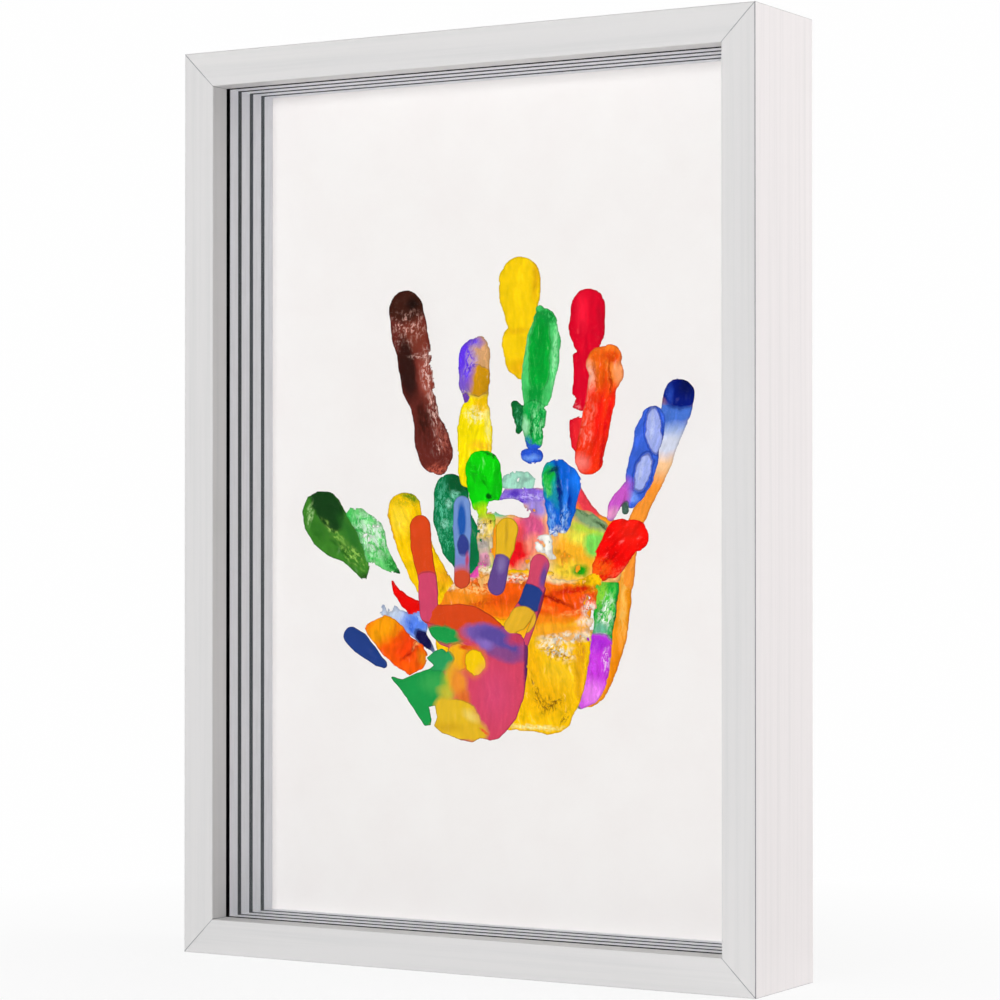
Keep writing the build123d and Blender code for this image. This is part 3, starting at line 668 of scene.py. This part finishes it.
fatherPrint = {
    "cell": 0.52, "ragged": 0.15, "warp": 0.9, "relief": 0.35, "stroke": 0.2, "ridge": 0.2, "lit": 0.08,
    "rim": 0.42, "rimWidth": 0.8, "line": 0.3,
    "gaps": (
        ((32.4, 113), (34, 119), (32.6, 125), (35, 127.4), (37, 122), (37.8, 115), (36.8, 112.2)),
    ),
    "dry": (
        (-28.4, 202, 2, 18, 5, 0.42), (-24, 188, 3, 14, 20, 0.45), (27.4, 190, 2, 8, 0, 0.3),
        (-46.8, 119, 8, 5, 0, 0.4),
    ),
    "thumb": {"paint": "3f8428", "patches": (
        ((-81.3, 153), (-79.2, 157.6), (-75.1, 159.8), (-70.2, 159.4), (-66.8, 157), (-62.8, 151),
         (-58.8, 145.5), (-55.4, 139), (-53.8, 134.6), (-55.7, 128.8), (-58.8, 131.6), (-64.3, 135.6),
         (-70.8, 137.6), (-76.8, 141.8), (-80.2, 147)),
    ), "dabs": (
        (-71.2, 154, 10.4, 19, 40, "153f16", 0.1), (-61.2, 144.4, 5, 14, 32, "2c6e24", 0.5),
        (-75.4, 146, 5, 9, 30, "2c6c1e", 0.5, 0.8), (-67.2, 144.4, 3, 14, 45, "9ccc58", 0.5, 0.42),
        (-60.8, 138, 4, 12, 48, "a8d860", 0.5, 0.5), (-65.2, 140, 3, 14, 50, "245f18", 0.5, 0.6),
        (-78.6, 151.6, 2, 8, -10, "a4cc84", 0.5, 0.6), (-55.8, 129.6, 4, 4, 0, "2a5c1c", 0.5),
    )},
    "index": {"paint": "672720", "runs": (
        ((-38.8, 222, 6.9), (-37.3, 214, 7.2), (-35.8, 208.4, 6.9), (-35, 203, 6.9), (-33.8, 196, 6.6),
         (-31.8, 189.5, 5.3), (-30.3, 184, 5.3), (-28.4, 178, 6.9), (-26.8, 173, 7), (-25.2, 168.4, 3.3)),
    ), "dabs": (
        (-38.8, 224, 17, 12, 0, "3e1b12", 0.18), (-36, 224.2, 4.6, 4, 20, "1c0b07", 0.6),
        (-35.2, 213, 11, 11, 0, "7c3628", 0.35), (-38.2, 216.4, 12, 9, 0, "dca698", 0.5, 0.4),
        (-39.4, 210.4, 6, 5, 0, "e0b0a2", 0.5, 0.42), (-38.2, 202, 7, 22, 10, "30130e", 0.28),
        (-30.4, 199, 6, 17, 6, "9c4638", 0.5), (-29.4, 200, 5.4, 15, 6, "ecc6ba", 0.5, 0.48),
        (-33.2, 206.4, 8, 2, 0, "e8b8aa", 0.5, 0.45), (-31.8, 184, 5, 14, 12, "3c1810", 0.5, 0.8),
        (-27.2, 187, 4.6, 14, 18, "e8bcae", 0.5, 0.48), (-23.8, 177, 4.4, 11, 20, "a8584a", 0.5, 0.6),
        (-25.8, 176, 3, 10, 14, "e2b0a4", 0.5, 0.3), (-26.2, 166.8, 8, 5, 0, "c45c48", 0.5, 0.6),
    )},
    "middle": {"paint": "fcd00a", "runs": (
        ((6.6, 230.8, 8), (6.6, 225.5, 7.8), (7, 219.3, 6.4), (7.6, 214.8, 5.2)),
        ((6.2, 209.4, 6.6), (6.7, 204, 5.8), (7.6, 201.4, 4.4)),
    ), "dabs": (
        (7.2, 229, 9, 12, 0, "fed20c", 0.7), (12.6, 231, 2.6, 14, 0, "f0b60c", 0.6),
        (6.8, 201.4, 9, 4.6, 0, "f0b60c", 0.6), (5.6, 213.8, 10, 1.6, 0, "f4c00c", 0.6),
    )},
    "drop": {"paint": "086a30", "runs": (
        ((4.8, 188.4, 1.6), (6.5, 186, 2.8), (7.4, 182.6, 2.4), (6.1, 180, 1.1)),
    ), "dabs": (
        (6.2, 184, 4, 8, 0, "48ac74", 0.5, 0.42),
    )},
    "ring": {"paint": "e20428", "runs": (
        ((33, 220.5, 6.5), (32.5, 213.5, 6.8), (32.5, 210, 5.4)),
    ), "patches": (
        ((27.5, 205), (32, 206.4), (37, 206), (36.6, 186), (30, 186.4), (27.4, 187.4), (28.8, 190.2),
         (27.2, 192), (27.8, 198)),
        ((26.2, 183), (30, 184), (37, 183.6), (37.4, 172), (30, 171.4), (27, 174.2), (26.2, 178)),
    ), "dabs": (
        (30.6, 219, 4, 12, 0, "fb1838", 0.7), (37.6, 216, 2.4, 14, 0, "d00626", 0.6),
        (32.2, 178, 10, 12, 0, "f82c30", 0.6), (28.2, 187, 3, 4, 0, "f88a94", 0.5, 0.5),
    )},
    "little": {"paint": "fd9832", "runs": (
        ((67, 190.4, 5.8), (65.6, 185, 5.5), (63.2, 178.5, 4.9), (60.8, 170, 3.9), (57.6, 162, 3.2),
         (53.8, 154.5, 2.7), (50.4, 148, 2.9), (47.8, 139, 3.2), (46.6, 129, 3.6)),
    ), "dabs": (
        (59.4, 168.6, 22, 9, 0, "fdca94", 0.6), (61.6, 176, 26, 11, 0, "d8dcee", 0.4),
        (63.2, 180.6, 24, 6, 0, "a4b8e6", 0.5), (65, 185, 26, 8, 4, "4a76d4", 0.4),
        (68.2, 192.6, 17, 12.6, 10, "05197a", 0.14), (69.6, 193.4, 6, 6, 0, "030f52", 0.6),
        (63.6, 191, 2.6, 7, 0, "2444b0", 0.6),
    )},
    "root": {"paint": "0a7c48", "runs": (
        ((-20.6, 158.8, 6.9), (-20.1, 150, 7.4), (-16.4, 142.4, 8.2), (-14, 137, 6.2)),
    ), "dabs": (
        (-17.2, 162.4, 11, 9, 0, "08562c", 0.35), (-24, 154, 5, 17, 0, "54bc94", 0.5, 0.55),
        (-18.6, 158.6, 3.4, 3, 0, "7cccae", 0.4, 0.7), (-21.6, 155.6, 3, 3.4, 0, "9cdcc4", 0.4, 0.7),
        (-19, 148, 3.4, 2.6, 0, "64c49c", 0.4, 0.7), (-23, 148.4, 3, 3, 0, "8cd4b8", 0.4, 0.7),
        (-19.2, 152, 6, 12, 0, "2a9c6c", 0.5, 0.5), (-21.2, 143, 10, 11, 0, "4ab888", 0.5, 0.42),
        (-15.2, 138, 10, 9, 0, "0a6a3a", 0.4),
    )},
    "palm": {"paint": "fc9c18", "patches": (
        ((-17.4, 131), (-9, 132.4), (-7.6, 136), (-7.4, 147.6), (-0.8, 148.6), (11.2, 149.2),
         (12.5, 157.6), (19.2, 159.6), (27.2, 158.5), (30, 160.6), (32.4, 157), (36.8, 151.4),
         (41.2, 149.6), (45.2, 149.6), (49.8, 148), (49.3, 130), (48.5, 120), (47.1, 110), (43.7, 100.2),
         (41, 94.8), (38.4, 90.3), (34.2, 87.8), (31, 87.4), (27.2, 92), (13.2, 94), (1.2, 96),
         (-10.8, 102), (-17.8, 112), (-18.6, 122)),
    ), "dabs": (
        (46.2, 120, 2.4, 44, -2, "ffbc54", 0.5, 0.8), (43.6, 100, 5, 22, -16, "f88c0c", 0.6),
        (48.6, 122, 1.4, 36, 2, "f08c10", 0.5, 0.7), (32.8, 155.4, 8, 13, 36, "f03e4c", 0.3),
        (34.6, 156.6, 2, 11, 38, "ffa4a8", 0.5, 0.7),
    )},
    "redSmear": {"paint": "f40a06", "patches": (
        ((-44.4, 128.8), (-41.8, 125.6), (-38.8, 123.8), (-33.8, 121.8), (-29.4, 119.3), (-30.4, 117.3),
         (-33.8, 118.6), (-36.8, 117.4), (-40.6, 120.7), (-43.4, 124.2)),
    )},
    "blueSmear": {"paint": "a8bcec", "patches": (
        ((-48.9, 117.4), (-48, 120.2), (-46.6, 118.3), (-44.6, 120.5), (-40.7, 118.3), (-36.8, 117.2),
         (-32.9, 118.6), (-30.4, 117.4), (-30.6, 113), (-30.8, 110.4), (-28, 106.6), (-27, 104.4),
         (-32, 106.9), (-35.6, 109.7), (-39.1, 111.4), (-42.4, 114.8), (-45.9, 116.4)),
    ), "dabs": (
        (-34, 114.2, 10, 9, 0, "5a86ee", 0.5), (-45.2, 118, 9, 6, 0, "ccdaf0", 0.5),
        (-32.6, 116.4, 5, 2, -20, "a8c0f6", 0.5, 0.7), (-36.4, 113, 2, 5, 40, "3c68dc", 0.5, 0.7),
        (-31.2, 108.6, 4.6, 9.4, 42, "16144c", 0.18),
    )},
}
prints = {"baby": babyPrint, "child": childPrint, "mother": motherPrint, "father": fatherPrint}
paint = {
    "seeds": (3, 10),        # the first print's, and how much higher each next one's is
    "margin": 9,             # of the sheet round a print, in mm
    "seat": 0.02 * mm,       # behind the pane
    "thin": 0.12 * mm,
    "thick": 0.27 * mm,
    "rounding": 0.35,        # of a patch's corners, in mm
    "cutAt": 0.1,            # how far outside the outline the sheet is cut, in mm
    "pull": 0.6,             # how far its rim is then drawn to the outline at most, in cells,
    "rounds": 3,             # and in how many rounds
    "slopeStep": 0.03,       # over which the field's slope is measured, in mm
    "flattest": 0.15,        # keeps the pull small where the field is flat
    "waves": ((4.2, 1.5), (1.25, 1.0)),     # of a ragged outline: size in mm and share, coarse and fine
    "grit": ((1.7, 0.65), (0.9, 0.45)),     # of a dry spot, the same way
    "dryReach": 1.4,         # of a dry spot, in its half sizes
    "dryLevel": 0.74,        # grit and dryness that together leave no paint
    "drySlope": 1.1,
    "lumps": ((3.1, 0.35), (1.1, 0.3)),     # of the paint's thickness, the same way
    "lumpsMiddle": 0.4,
    "bead": (0.8, 0.3),      # along the rim: its width in mm, and how much thicker it is
    "rimReach": 3.0,         # in mm: further in, a point's distance to the outline counts as this
    "smoothAngle": math.radians(40),
    "roughness": 0.42,
    "roughBand": (0.3, 0.7, 0.34, 0.55),
    "gloss": 0.04,           # low, because the paint is seen through the pane that it sticks to
    "ridge": "7a6468",       # darkens the colour that it lies on
    # the colour of the painted highlights along the strokes
    "lit": "fff8ee",
    "warpNoise": (190.0, 4.0, 0.62),
    "warpSize": 4 * mm,      # of a full warp
    "strokeSize": (1.5 * mm, 1.0, 7.0 * mm),
    "strokeNoise": (4.0, 0.6, 0.3),
    "strokeBand": (0.3, 0.68),
    "strokeTone": (0.8, 0.6),               # darker and lighter, by so much of the print's stroke
    "mottleNoise": (210.0, 3.0, 0.6, 0.4),
    "mottleBand": (0.32, 0.66),
    "mottleTone": (0.4, 0.4),
    "foldAt": 0.52,          # of the strokes' noise, where a ridge stands
    "foldWidth": 0.02,
    "foldBand": (0.45, 0.6),                # of the mottle, where ridges show
    "litBand": (0.6, 0.72),
    "litPatch": (0.55, 0.4),
    "reliefNoise": (420.0, 4.0, 0.6, 1.0),
    "reliefDepth": 0.5 * mm,
    "strokeRelief": (0.5, 0.15 * mm),       # share of the print's relief, and depth
}
dabs = {
    "crisp": 0.2,            # the softest edge that still has a dark line
    "line": 0.5,             # its width, in mm of the dab's half size
    "deep": 1000.0,          # a dab goes through the paint
    "scratchNoise": (4.0, 0.7, 0.5),
    "scratchSize": (3.2, 8),                # across and up, in mm
    "scratchBase": 1.1,
    "scratchBand": (0.64, 0.73),
    "scratchLeft": 0.3,      # how far what is left shifts that band
}


def drift(x, z, size, seed):
    # Smooth noise from -1 to 1, with lumps of about this size. It repeats after so many lumps.
    period, offset = 89, 700.0
    lattice = np.random.default_rng(seed).random((period, period)) * 2 - 1
    u, v = x / size + offset, z / size + offset
    i, j = np.floor(u).astype(int), np.floor(v).astype(int)
    f, g = u - i, v - j
    f, g = f * f * (3 - 2 * f), g * g * (3 - 2 * g)
    i, j, k, m = i % period, j % period, (i + 1) % period, (j + 1) % period
    low = lattice[i, j] * (1 - f) + lattice[k, j] * f
    high = lattice[i, m] * (1 - f) + lattice[k, m] * f
    return low * (1 - g) + high * g


def layers(x, z, sizes, seed, middle=0.0):
    # Two such noises round a middle, each by its share
    (coarse, coarseShare), (fine, fineShare) = sizes
    return middle + coarseShare * drift(x, z, coarse, seed) + fineShare * drift(x, z, fine, seed + 1)


farOff = 99.0


def nearestOn(x, z, start, end):
    # How far along the line from start to end the nearest point is, from 0 to 1, and how far away
    runX, runZ = end[0] - start[0], end[1] - start[1]
    t = np.clip(((x - start[0]) * runX + (z - start[1]) * runZ) / (runX ** 2 + runZ ** 2), 0.0, 1.0)
    return t, np.hypot(x - start[0] - t * runX, z - start[1] - t * runZ)


def runField(x, z, stations):
    # Distance to a run's outline, negative inside
    field = np.full_like(x, farOff)
    for start, end in zip(stations, stations[1:]):
        t, away = nearestOn(x, z, start, end)
        field = np.minimum(field, away - start[2] - t * (end[2] - start[2]))
    return field


def patchField(x, z, corners):
    near = np.full_like(x, farOff)
    inside = np.zeros(x.shape, bool)
    for start, end in zip(corners, corners[1:] + corners[:1]):
        near = np.minimum(near, nearestOn(x, z, start, end)[1])
        (ax, az), (bx, bz) = start, end
        if az != bz:
            inside ^= ((az > z) != (bz > z)) & (x < ax + (z - az) * (bx - ax) / (bz - az))
    return np.where(inside, -near, near)


def partsOf(shape):
    return [part for part in shape.values() if isinstance(part, dict)]


def partField(x, z, part):
    fields = [runField(x, z, stations) for stations in part.get("runs", ())]
    fields += [patchField(x, z, corners) - paint["rounding"] for corners in part.get("patches", ())]
    return np.minimum.reduce(fields)


def printField(x, z, shape, seed):
    # How far outside the print a point is, in mm: negative inside
    wx = x + shape["ragged"] * layers(x, z, paint["waves"], seed)
    wz = z + shape["ragged"] * layers(x, z, paint["waves"], seed + 2)
    field = np.minimum.reduce([partField(wx, wz, part) for part in partsOf(shape)])
    for corners in shape.get("gaps", ()):
        field = np.maximum(field, -patchField(wx, wz, corners))
    grit = layers(x, z, paint["grit"], seed + 4)
    for cx, cz, width, height, lean, dryness in shape.get("dry", ()):
        turn = math.radians(lean)
        a = ((x - cx) * math.cos(turn) + (z - cz) * math.sin(turn)) / (width / 2)
        b = ((z - cz) * math.cos(turn) - (x - cx) * math.sin(turn)) / (height / 2)
        inZone = np.clip(paint["dryReach"] - np.hypot(a, b), 0.0, 1.0)
        bare = (grit + dryness * inZone - paint["dryLevel"]) * paint["drySlope"]
        field = np.maximum(field, np.where(inZone > 0, bare, -farOff))
    return field


def pointsOf(piece):
    points = np.empty(len(piece.data.vertices) * 3)
    piece.data.vertices.foreach_get("co", points)
    return points.reshape(-1, 3)


def placePoints(piece, points):
    piece.data.vertices.foreach_set("co", points.ravel())


def pickPoints(piece, mask):
    # Selects the points of a mesh where mask is true, and nothing else
    for parts in (piece.data.polygons, piece.data.edges):
        parts.foreach_set("select", np.zeros(len(parts), bool))
    piece.data.vertices.foreach_set("select", mask)


def picked(piece):
    mask = np.empty(len(piece.data.vertices), bool)
    piece.data.vertices.foreach_get("select", mask)
    return mask


def pickRim(wire):
    # In edit mode: the loose points, or the open edges
    bpy.ops.mesh.select_all(action="DESELECT")
    bpy.ops.mesh.select_non_manifold(extend=False, use_wire=wire, use_boundary=not wire,
                                     use_multi_face=False, use_non_contiguous=False, use_verts=wire)


def sheetFor(name, shape, front):
    # A flat sheet of small squares, a margin larger than the print
    places = [place for part in partsOf(shape) for kind in ("runs", "patches")
              for outline in part.get(kind, ()) for place in outline]
    (left, right), (bottom, top) = [(min(p[axis] for p in places) - paint["margin"],
                                     max(p[axis] for p in places) + paint["margin"]) for axis in (0, 1)]
    bpy.ops.object.select_all(action="DESELECT")
    bpy.ops.mesh.primitive_grid_add(
        x_subdivisions=round((right - left) / shape["cell"]),
        y_subdivisions=round((top - bottom) / shape["cell"]),
        size=1.0, location=((left + right) / 2 * mm, front + paint["seat"], (bottom + top) / 2 * mm),
        rotation=(math.radians(90), 0, 0))
    piece = bpy.context.object
    piece.name = piece.data.name = "paint_" + name
    piece.scale = ((right - left) * mm, (top - bottom) * mm, 1.0)
    bpy.ops.object.transform_apply(location=True, rotation=True, scale=True)
    return piece


def cutToPrint(piece, shape, seed):
    # Cuts the sheet to the print, and draws its rim out to the exact outline
    points = pointsOf(piece) / mm
    pickPoints(piece, printField(points[:, 0], points[:, 2], shape, seed) > paint["cutAt"])
    bpy.context.tool_settings.mesh_select_mode = (True, False, False)
    bpy.ops.object.mode_set(mode="EDIT")
    bpy.ops.mesh.delete(type="VERT")
    for again in range(2):           # the first time can leave new loose points
        pickRim(True)
        bpy.ops.mesh.delete(type="VERT")
    pickRim(False)
    bpy.ops.object.mode_set(mode="OBJECT")
    points = pointsOf(piece) / mm
    rim = picked(piece)
    startX, startZ = points[rim, 0], points[rim, 2]
    x, z = startX.copy(), startZ.copy()
    step, reach = paint["slopeStep"], paint["pull"] * shape["cell"]
    for again in range(paint["rounds"]):
        field = printField(x, z, shape, seed)
        slopeX = (printField(x + step, z, shape, seed) - field) / step
        slopeZ = (printField(x, z + step, shape, seed) - field) / step
        steep = slopeX ** 2 + slopeZ ** 2 + paint["flattest"]
        x = np.clip(x - field * slopeX / steep, startX - reach, startX + reach)
        z = np.clip(z - field * slopeZ / steep, startZ - reach, startZ + reach)
    points[rim, 0], points[rim, 2] = x, z
    placePoints(piece, points * mm)


def thicken(piece, shape, seed, front):
    # Gives the paint its thickness, uneven as a palm leaves it
    bpy.ops.object.mode_set(mode="EDIT")
    bpy.ops.mesh.select_all(action="SELECT")
    bpy.ops.mesh.extrude_region_move(TRANSFORM_OT_translate={"value": (0, paint["thin"], 0)})
    bpy.ops.object.mode_set(mode="OBJECT")
    points = pointsOf(piece)
    rear = picked(piece)
    x, z = points[:, 0] / mm, points[:, 2] / mm
    inwards = np.clip(-printField(x, z, shape, seed), 0.0, paint["rimReach"])
    beadWidth, bead = paint["bead"]
    lumps = layers(x, z, paint["lumps"], seed + 6, paint["lumpsMiddle"]) + bead * (inwards < beadWidth)
    height = paint["thin"] + np.clip(lumps, 0.0, 1.0) * (paint["thick"] - paint["thin"])
    points[rear, 1] = front + height[rear]
    placePoints(piece, points)
    piece.data.attributes.new("inwards", "FLOAT", "POINT").data.foreach_set("value", inwards)
    bpy.ops.object.mode_set(mode="EDIT")
    bpy.ops.mesh.select_all(action="SELECT")
    bpy.ops.mesh.normals_make_consistent(inside=False)
    bpy.ops.object.mode_set(mode="OBJECT")
    bpy.ops.object.shade_smooth_by_angle(angle=paint["smoothAngle"])


def paintedHand(name, seed):
    shape = prints[name]
    node = "handprint_" + name
    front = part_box(node)[0].y
    piece = sheetFor(name, shape, front)
    cutToPrint(piece, shape, seed)
    thicken(piece, shape, seed, front)

    # Each finger and the palm has its own mix of paint
    middles = np.empty(len(piece.data.polygons) * 3)
    piece.data.polygons.foreach_get("center", middles)
    x, z = middles[0::3] / mm, middles[2::3] / mm
    owner = np.argmin([partField(x, z, part) for part in partsOf(shape)], axis=0)
    for number, part in enumerate(partsOf(shape)):
        piece.data.materials.append(paintMaterial("%s_%d" % (name, number), shape, part, seed + number))
    piece.data.polygons.foreach_set("material_index", owner.astype(np.int32))
    piece.visible_shadow = False     # the board behind stays clean
    piece.visible_diffuse = False
    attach(piece, "frame")
    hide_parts(node)
    print("print of the", name, len(piece.data.vertices), "points")


def darker(tree, share, colour):
    # A darker colour by its share: for the dark line and rim that paint dries with, and for the painted
    # shade of the strokes' ridges
    return tree.mix(share, colour, tree.mix(1.0, colour, screen(paint["ridge"]), "MULTIPLY"))


def layDab(tree, vector, under, dab, line):
    # One dab of paint over what is under it. A crisp one gets a dark line.
    x, z, width, height, lean, colour, soft, *left = dab
    unit = tree.mapping(vector, (x * mm, 0, z * mm), (0, -math.radians(lean), 0),
                        (width * mm / 2, dabs["deep"], height * mm / 2), "TEXTURE")
    span = tree.length(unit)
    cover = tree.ramp(span, 1 - soft, 1 + soft, 1.0, 0.0)
    if left:
        across, upwards = dabs["scratchSize"]
        base = dabs["scratchBase"]
        stretch = tree.mapping(unit, scale=(base + width / across, 1.0, base + height / upwards))
        scratch = tree.clouds(stretch, 1.0, *dabs["scratchNoise"])
        band = [edge - dabs["scratchLeft"] * left[0] for edge in dabs["scratchBand"]]
        cover = tree.maths("MULTIPLY", cover, tree.ramp(scratch, *band))
    laid = tree.mix(cover, under, screen(colour))
    if left or soft > dabs["crisp"]:
        return laid
    outline = tree.ramp(tree.offMiddle(span, 1.0), 0.0, dabs["line"] / min(width, height), line, 0.0)
    return darker(tree, outline, laid)


def leanOf(part):
    # The lean of a part's strokes to the left, in degrees, a finger's from its tip to its root
    if "lean" in part or "runs" not in part:
        return part.get("lean", 0.0)
    tip, root = part["runs"][0][0], part["runs"][0][-1]
    return math.degrees(math.atan2(root[0] - tip[0], tip[1] - root[1]))


def tone(tree, noise, kind, stroke):
    # A noise as a tone round 1, darker and lighter by its shares of the print's stroke
    dark, light = paint[kind + "Tone"]
    return tree.ramp(noise, *paint[kind + "Band"], 1.0 - stroke * dark, 1.0 + stroke * light)


def paintMaterial(name, looks, part, seed):
    tree = Finish("fingerPaint_" + name, paint["roughness"])
    tree.shader.inputs["Specular IOR Level"].default_value = paint["gloss"]
    shift = tree.mapping(tree.coords, place=(seed, seed, 0))
    swirl = tree.clouds(shift, *paint["warpNoise"], output="Color")
    push = tree.add("VectorMath", {0: swirl, 1: (0.5, 0.5, 0.5)}, operation="SUBTRACT")
    warp = paint["warpSize"] * part.get("warp", looks["warp"])
    vector = tree.add("VectorMath", {0: push, 1: (warp,) * 3, 2: tree.coords}, operation="MULTIPLY_ADD")
    layer = tree.mix(0.0, screen(part["paint"]), screen(part["paint"]))
    for dab in part.get("dabs", ()):
        layer = layDab(tree, vector, layer, dab, looks["line"])

    # Strokes along the finger, fine ridges between them with painted shade, painted highlights along the
    # strokes, and the dark rim that a print dries with
    along = tree.mapping(vector, (seed, 0, seed), (0, -math.radians(leanOf(part)), 0), paint["strokeSize"],
                         "TEXTURE")
    stroke = tree.clouds(along, 1.0, *paint["strokeNoise"])
    mottle = tree.clouds(shift, *paint["mottleNoise"])
    value = tree.maths("MULTIPLY", tone(tree, stroke, "stroke", looks["stroke"]),
                       tone(tree, mottle, "mottle", looks["stroke"]))
    body = tree.add("HueSaturation", {"Color": layer, "Value": value})
    # Painted shade along the ridges between the strokes
    fold = tree.ramp(tree.offMiddle(stroke, paint["foldAt"]), 0.0, paint["foldWidth"], looks["ridge"], 0.0)
    body = darker(tree, tree.maths("MULTIPLY", fold, tree.ramp(mottle, *paint["foldBand"])), body)
    # Painted highlights along the strokes
    lit = tree.ramp(stroke, *paint["litBand"], 0.0, looks["lit"])
    lit = tree.maths("MULTIPLY", lit, tree.ramp(mottle, *paint["litPatch"]))
    body = tree.mix(lit, body, screen(paint["lit"]))
    inwards = tree.add("Attribute", {}, "Fac", attribute_name="inwards")
    rim = tree.ramp(inwards, 0.0, looks["rimWidth"], looks["rim"], 0.0)
    lumps = tree.clouds(vector, *paint["reliefNoise"])
    share, depth = paint["strokeRelief"]
    relief = tree.bump(lumps, looks["relief"], paint["reliefDepth"])
    relief = tree.bump(stroke, looks["relief"] * share, depth, relief)
    return tree.done(darker(tree, rim, body), relief, tree.ramp(mottle, *paint["roughBand"]))


firstSeed, seedStep = paint["seeds"]
for number, name in enumerate(prints):
    paintedHand(name, firstSeed + seedStep * number)
print("prints painted")


# Floor, light and camera
studio = {
    "floor": 0.88,           # how much light the floor sends back
    "floorPaler": 1.02,      # in its palest patches, times that
    "floorSize": 30.0,
    "floorRoughness": 0.9,
    "floorNoise": (3.0, 3.0),
    "shadow": 0.1,           # share of the floor's real shading that the camera sees beside the frame
    "near": 0.11,            # that share fades out from here, in metres from the frame's middle,
    "far": 0.3,              # to here
    "white": 0.995,
    "sky": 0.32,
    "clearBounces": 48,      # through the panes, one behind another
    "diffuseBounces": 6,
}
lamps = {
    # Place, aim, size in metres, power in watts and tint. No lamp reaches below the floor.
    "frontLamp": ((-0.02, -2.6, 0.32), (0, 0, 0.14), 0.62, 41.0, (1, 1, 1)),
    "sideLamp": ((1.8, 0.6, 0.5), (0.1, 0.0, 0.15), 1.0, 27.0, (1.0, 0.94, 0.94)),
    "backLamp": ((-0.3, 1.7, 0.7), (0, 0, 0.15), 1.2, 9.0, (1, 1, 1)),
}
view = {
    "place": (0.5461, -0.9189, 0.1464),
    "yaw": 30.5,
    "rise": 0.54,
    "lens": 114.62,
    "sensor": 36.0,
    "nearest": 0.02,
}


def backgroundRays(tree):
    # 1 for the rays that should see the white background, 0 for those that light the frame
    path = tree.nodes.new("ShaderNodeLightPath").outputs
    total = tree.maths("ADD", path["Is Camera Ray"], path["Is Glossy Ray"])
    return tree.add("Math", {0: total, 1: path["Is Transmission Ray"]}, operation="ADD", use_clamp=True)


def addFloor():
    bpy.ops.object.select_all(action="DESELECT")
    bpy.ops.mesh.primitive_plane_add(size=studio["floorSize"], location=(0, 0, 0))
    floor = bpy.context.object
    floor.name = "floor"
    tree = Finish("paleFloor", studio["floorRoughness"])
    tree.shader.inputs["Specular IOR Level"].default_value = 0.0
    grain = tree.clouds(tree.coords, *studio["floorNoise"])
    pale, paler = grey(studio["floor"]), grey(studio["floor"] * studio["floorPaler"])
    tree.put(tree.mix(grain, pale, paler), tree.shader.inputs["Base Color"])
    # The shadow shows near the frame, and further off the floor is as white as the background
    white = tree.add("Emission", {"Color": grey(studio["white"])})
    far = tree.ramp(tree.length(tree.coords), studio["near"], studio["far"], 1 - studio["shadow"], 1.0)
    seen = tree.maths("MULTIPLY", backgroundRays(tree), far)
    tree.show(tree.mixShader(seen, tree.shader.outputs[0], white))
    floor.data.materials.append(tree.material)


def addSky():
    world = bpy.data.worlds.new("studioSky")
    bpy.context.scene.world = world
    world.use_nodes = True
    tree = Tree(world.node_tree, "OutputWorld")
    light = tree.add("Background", {"Strength": studio["sky"]})
    white = tree.add("Background", {"Color": grey(studio["white"])})
    tree.show(tree.mixShader(backgroundRays(tree), light, white))


def addLamp(name, place, aim, size, power, tint):
    bpy.ops.object.light_add(type="AREA", location=place)
    lamp = bpy.context.object
    lamp.name = name
    lamp.data.shape = "DISK"
    lamp.data.size = size
    lamp.data.energy = power
    lamp.data.color = tint
    lamp.rotation_euler = (Vector(aim) - Vector(place)).to_track_quat("-Z", "Y").to_euler()
    lamp.visible_camera = False
    lamp.visible_glossy = False


def addCamera():
    bpy.ops.object.camera_add(location=view["place"],
                              rotation=(math.radians(90 + view["rise"]), 0, math.radians(view["yaw"])))
    camera = bpy.context.object
    camera.data.lens = view["lens"]
    camera.data.sensor_width = view["sensor"]
    camera.data.clip_start = view["nearest"]
    bpy.context.scene.camera = camera


addFloor()
addSky()
for name, values in lamps.items():
    addLamp(name, *values)
addCamera()
scene = bpy.context.scene
scene.view_settings.view_transform = "Standard"
scene.cycles.transparent_max_bounces = studio["clearBounces"]
scene.cycles.diffuse_bounces = studio["diffuseBounces"]
print("studio ready")
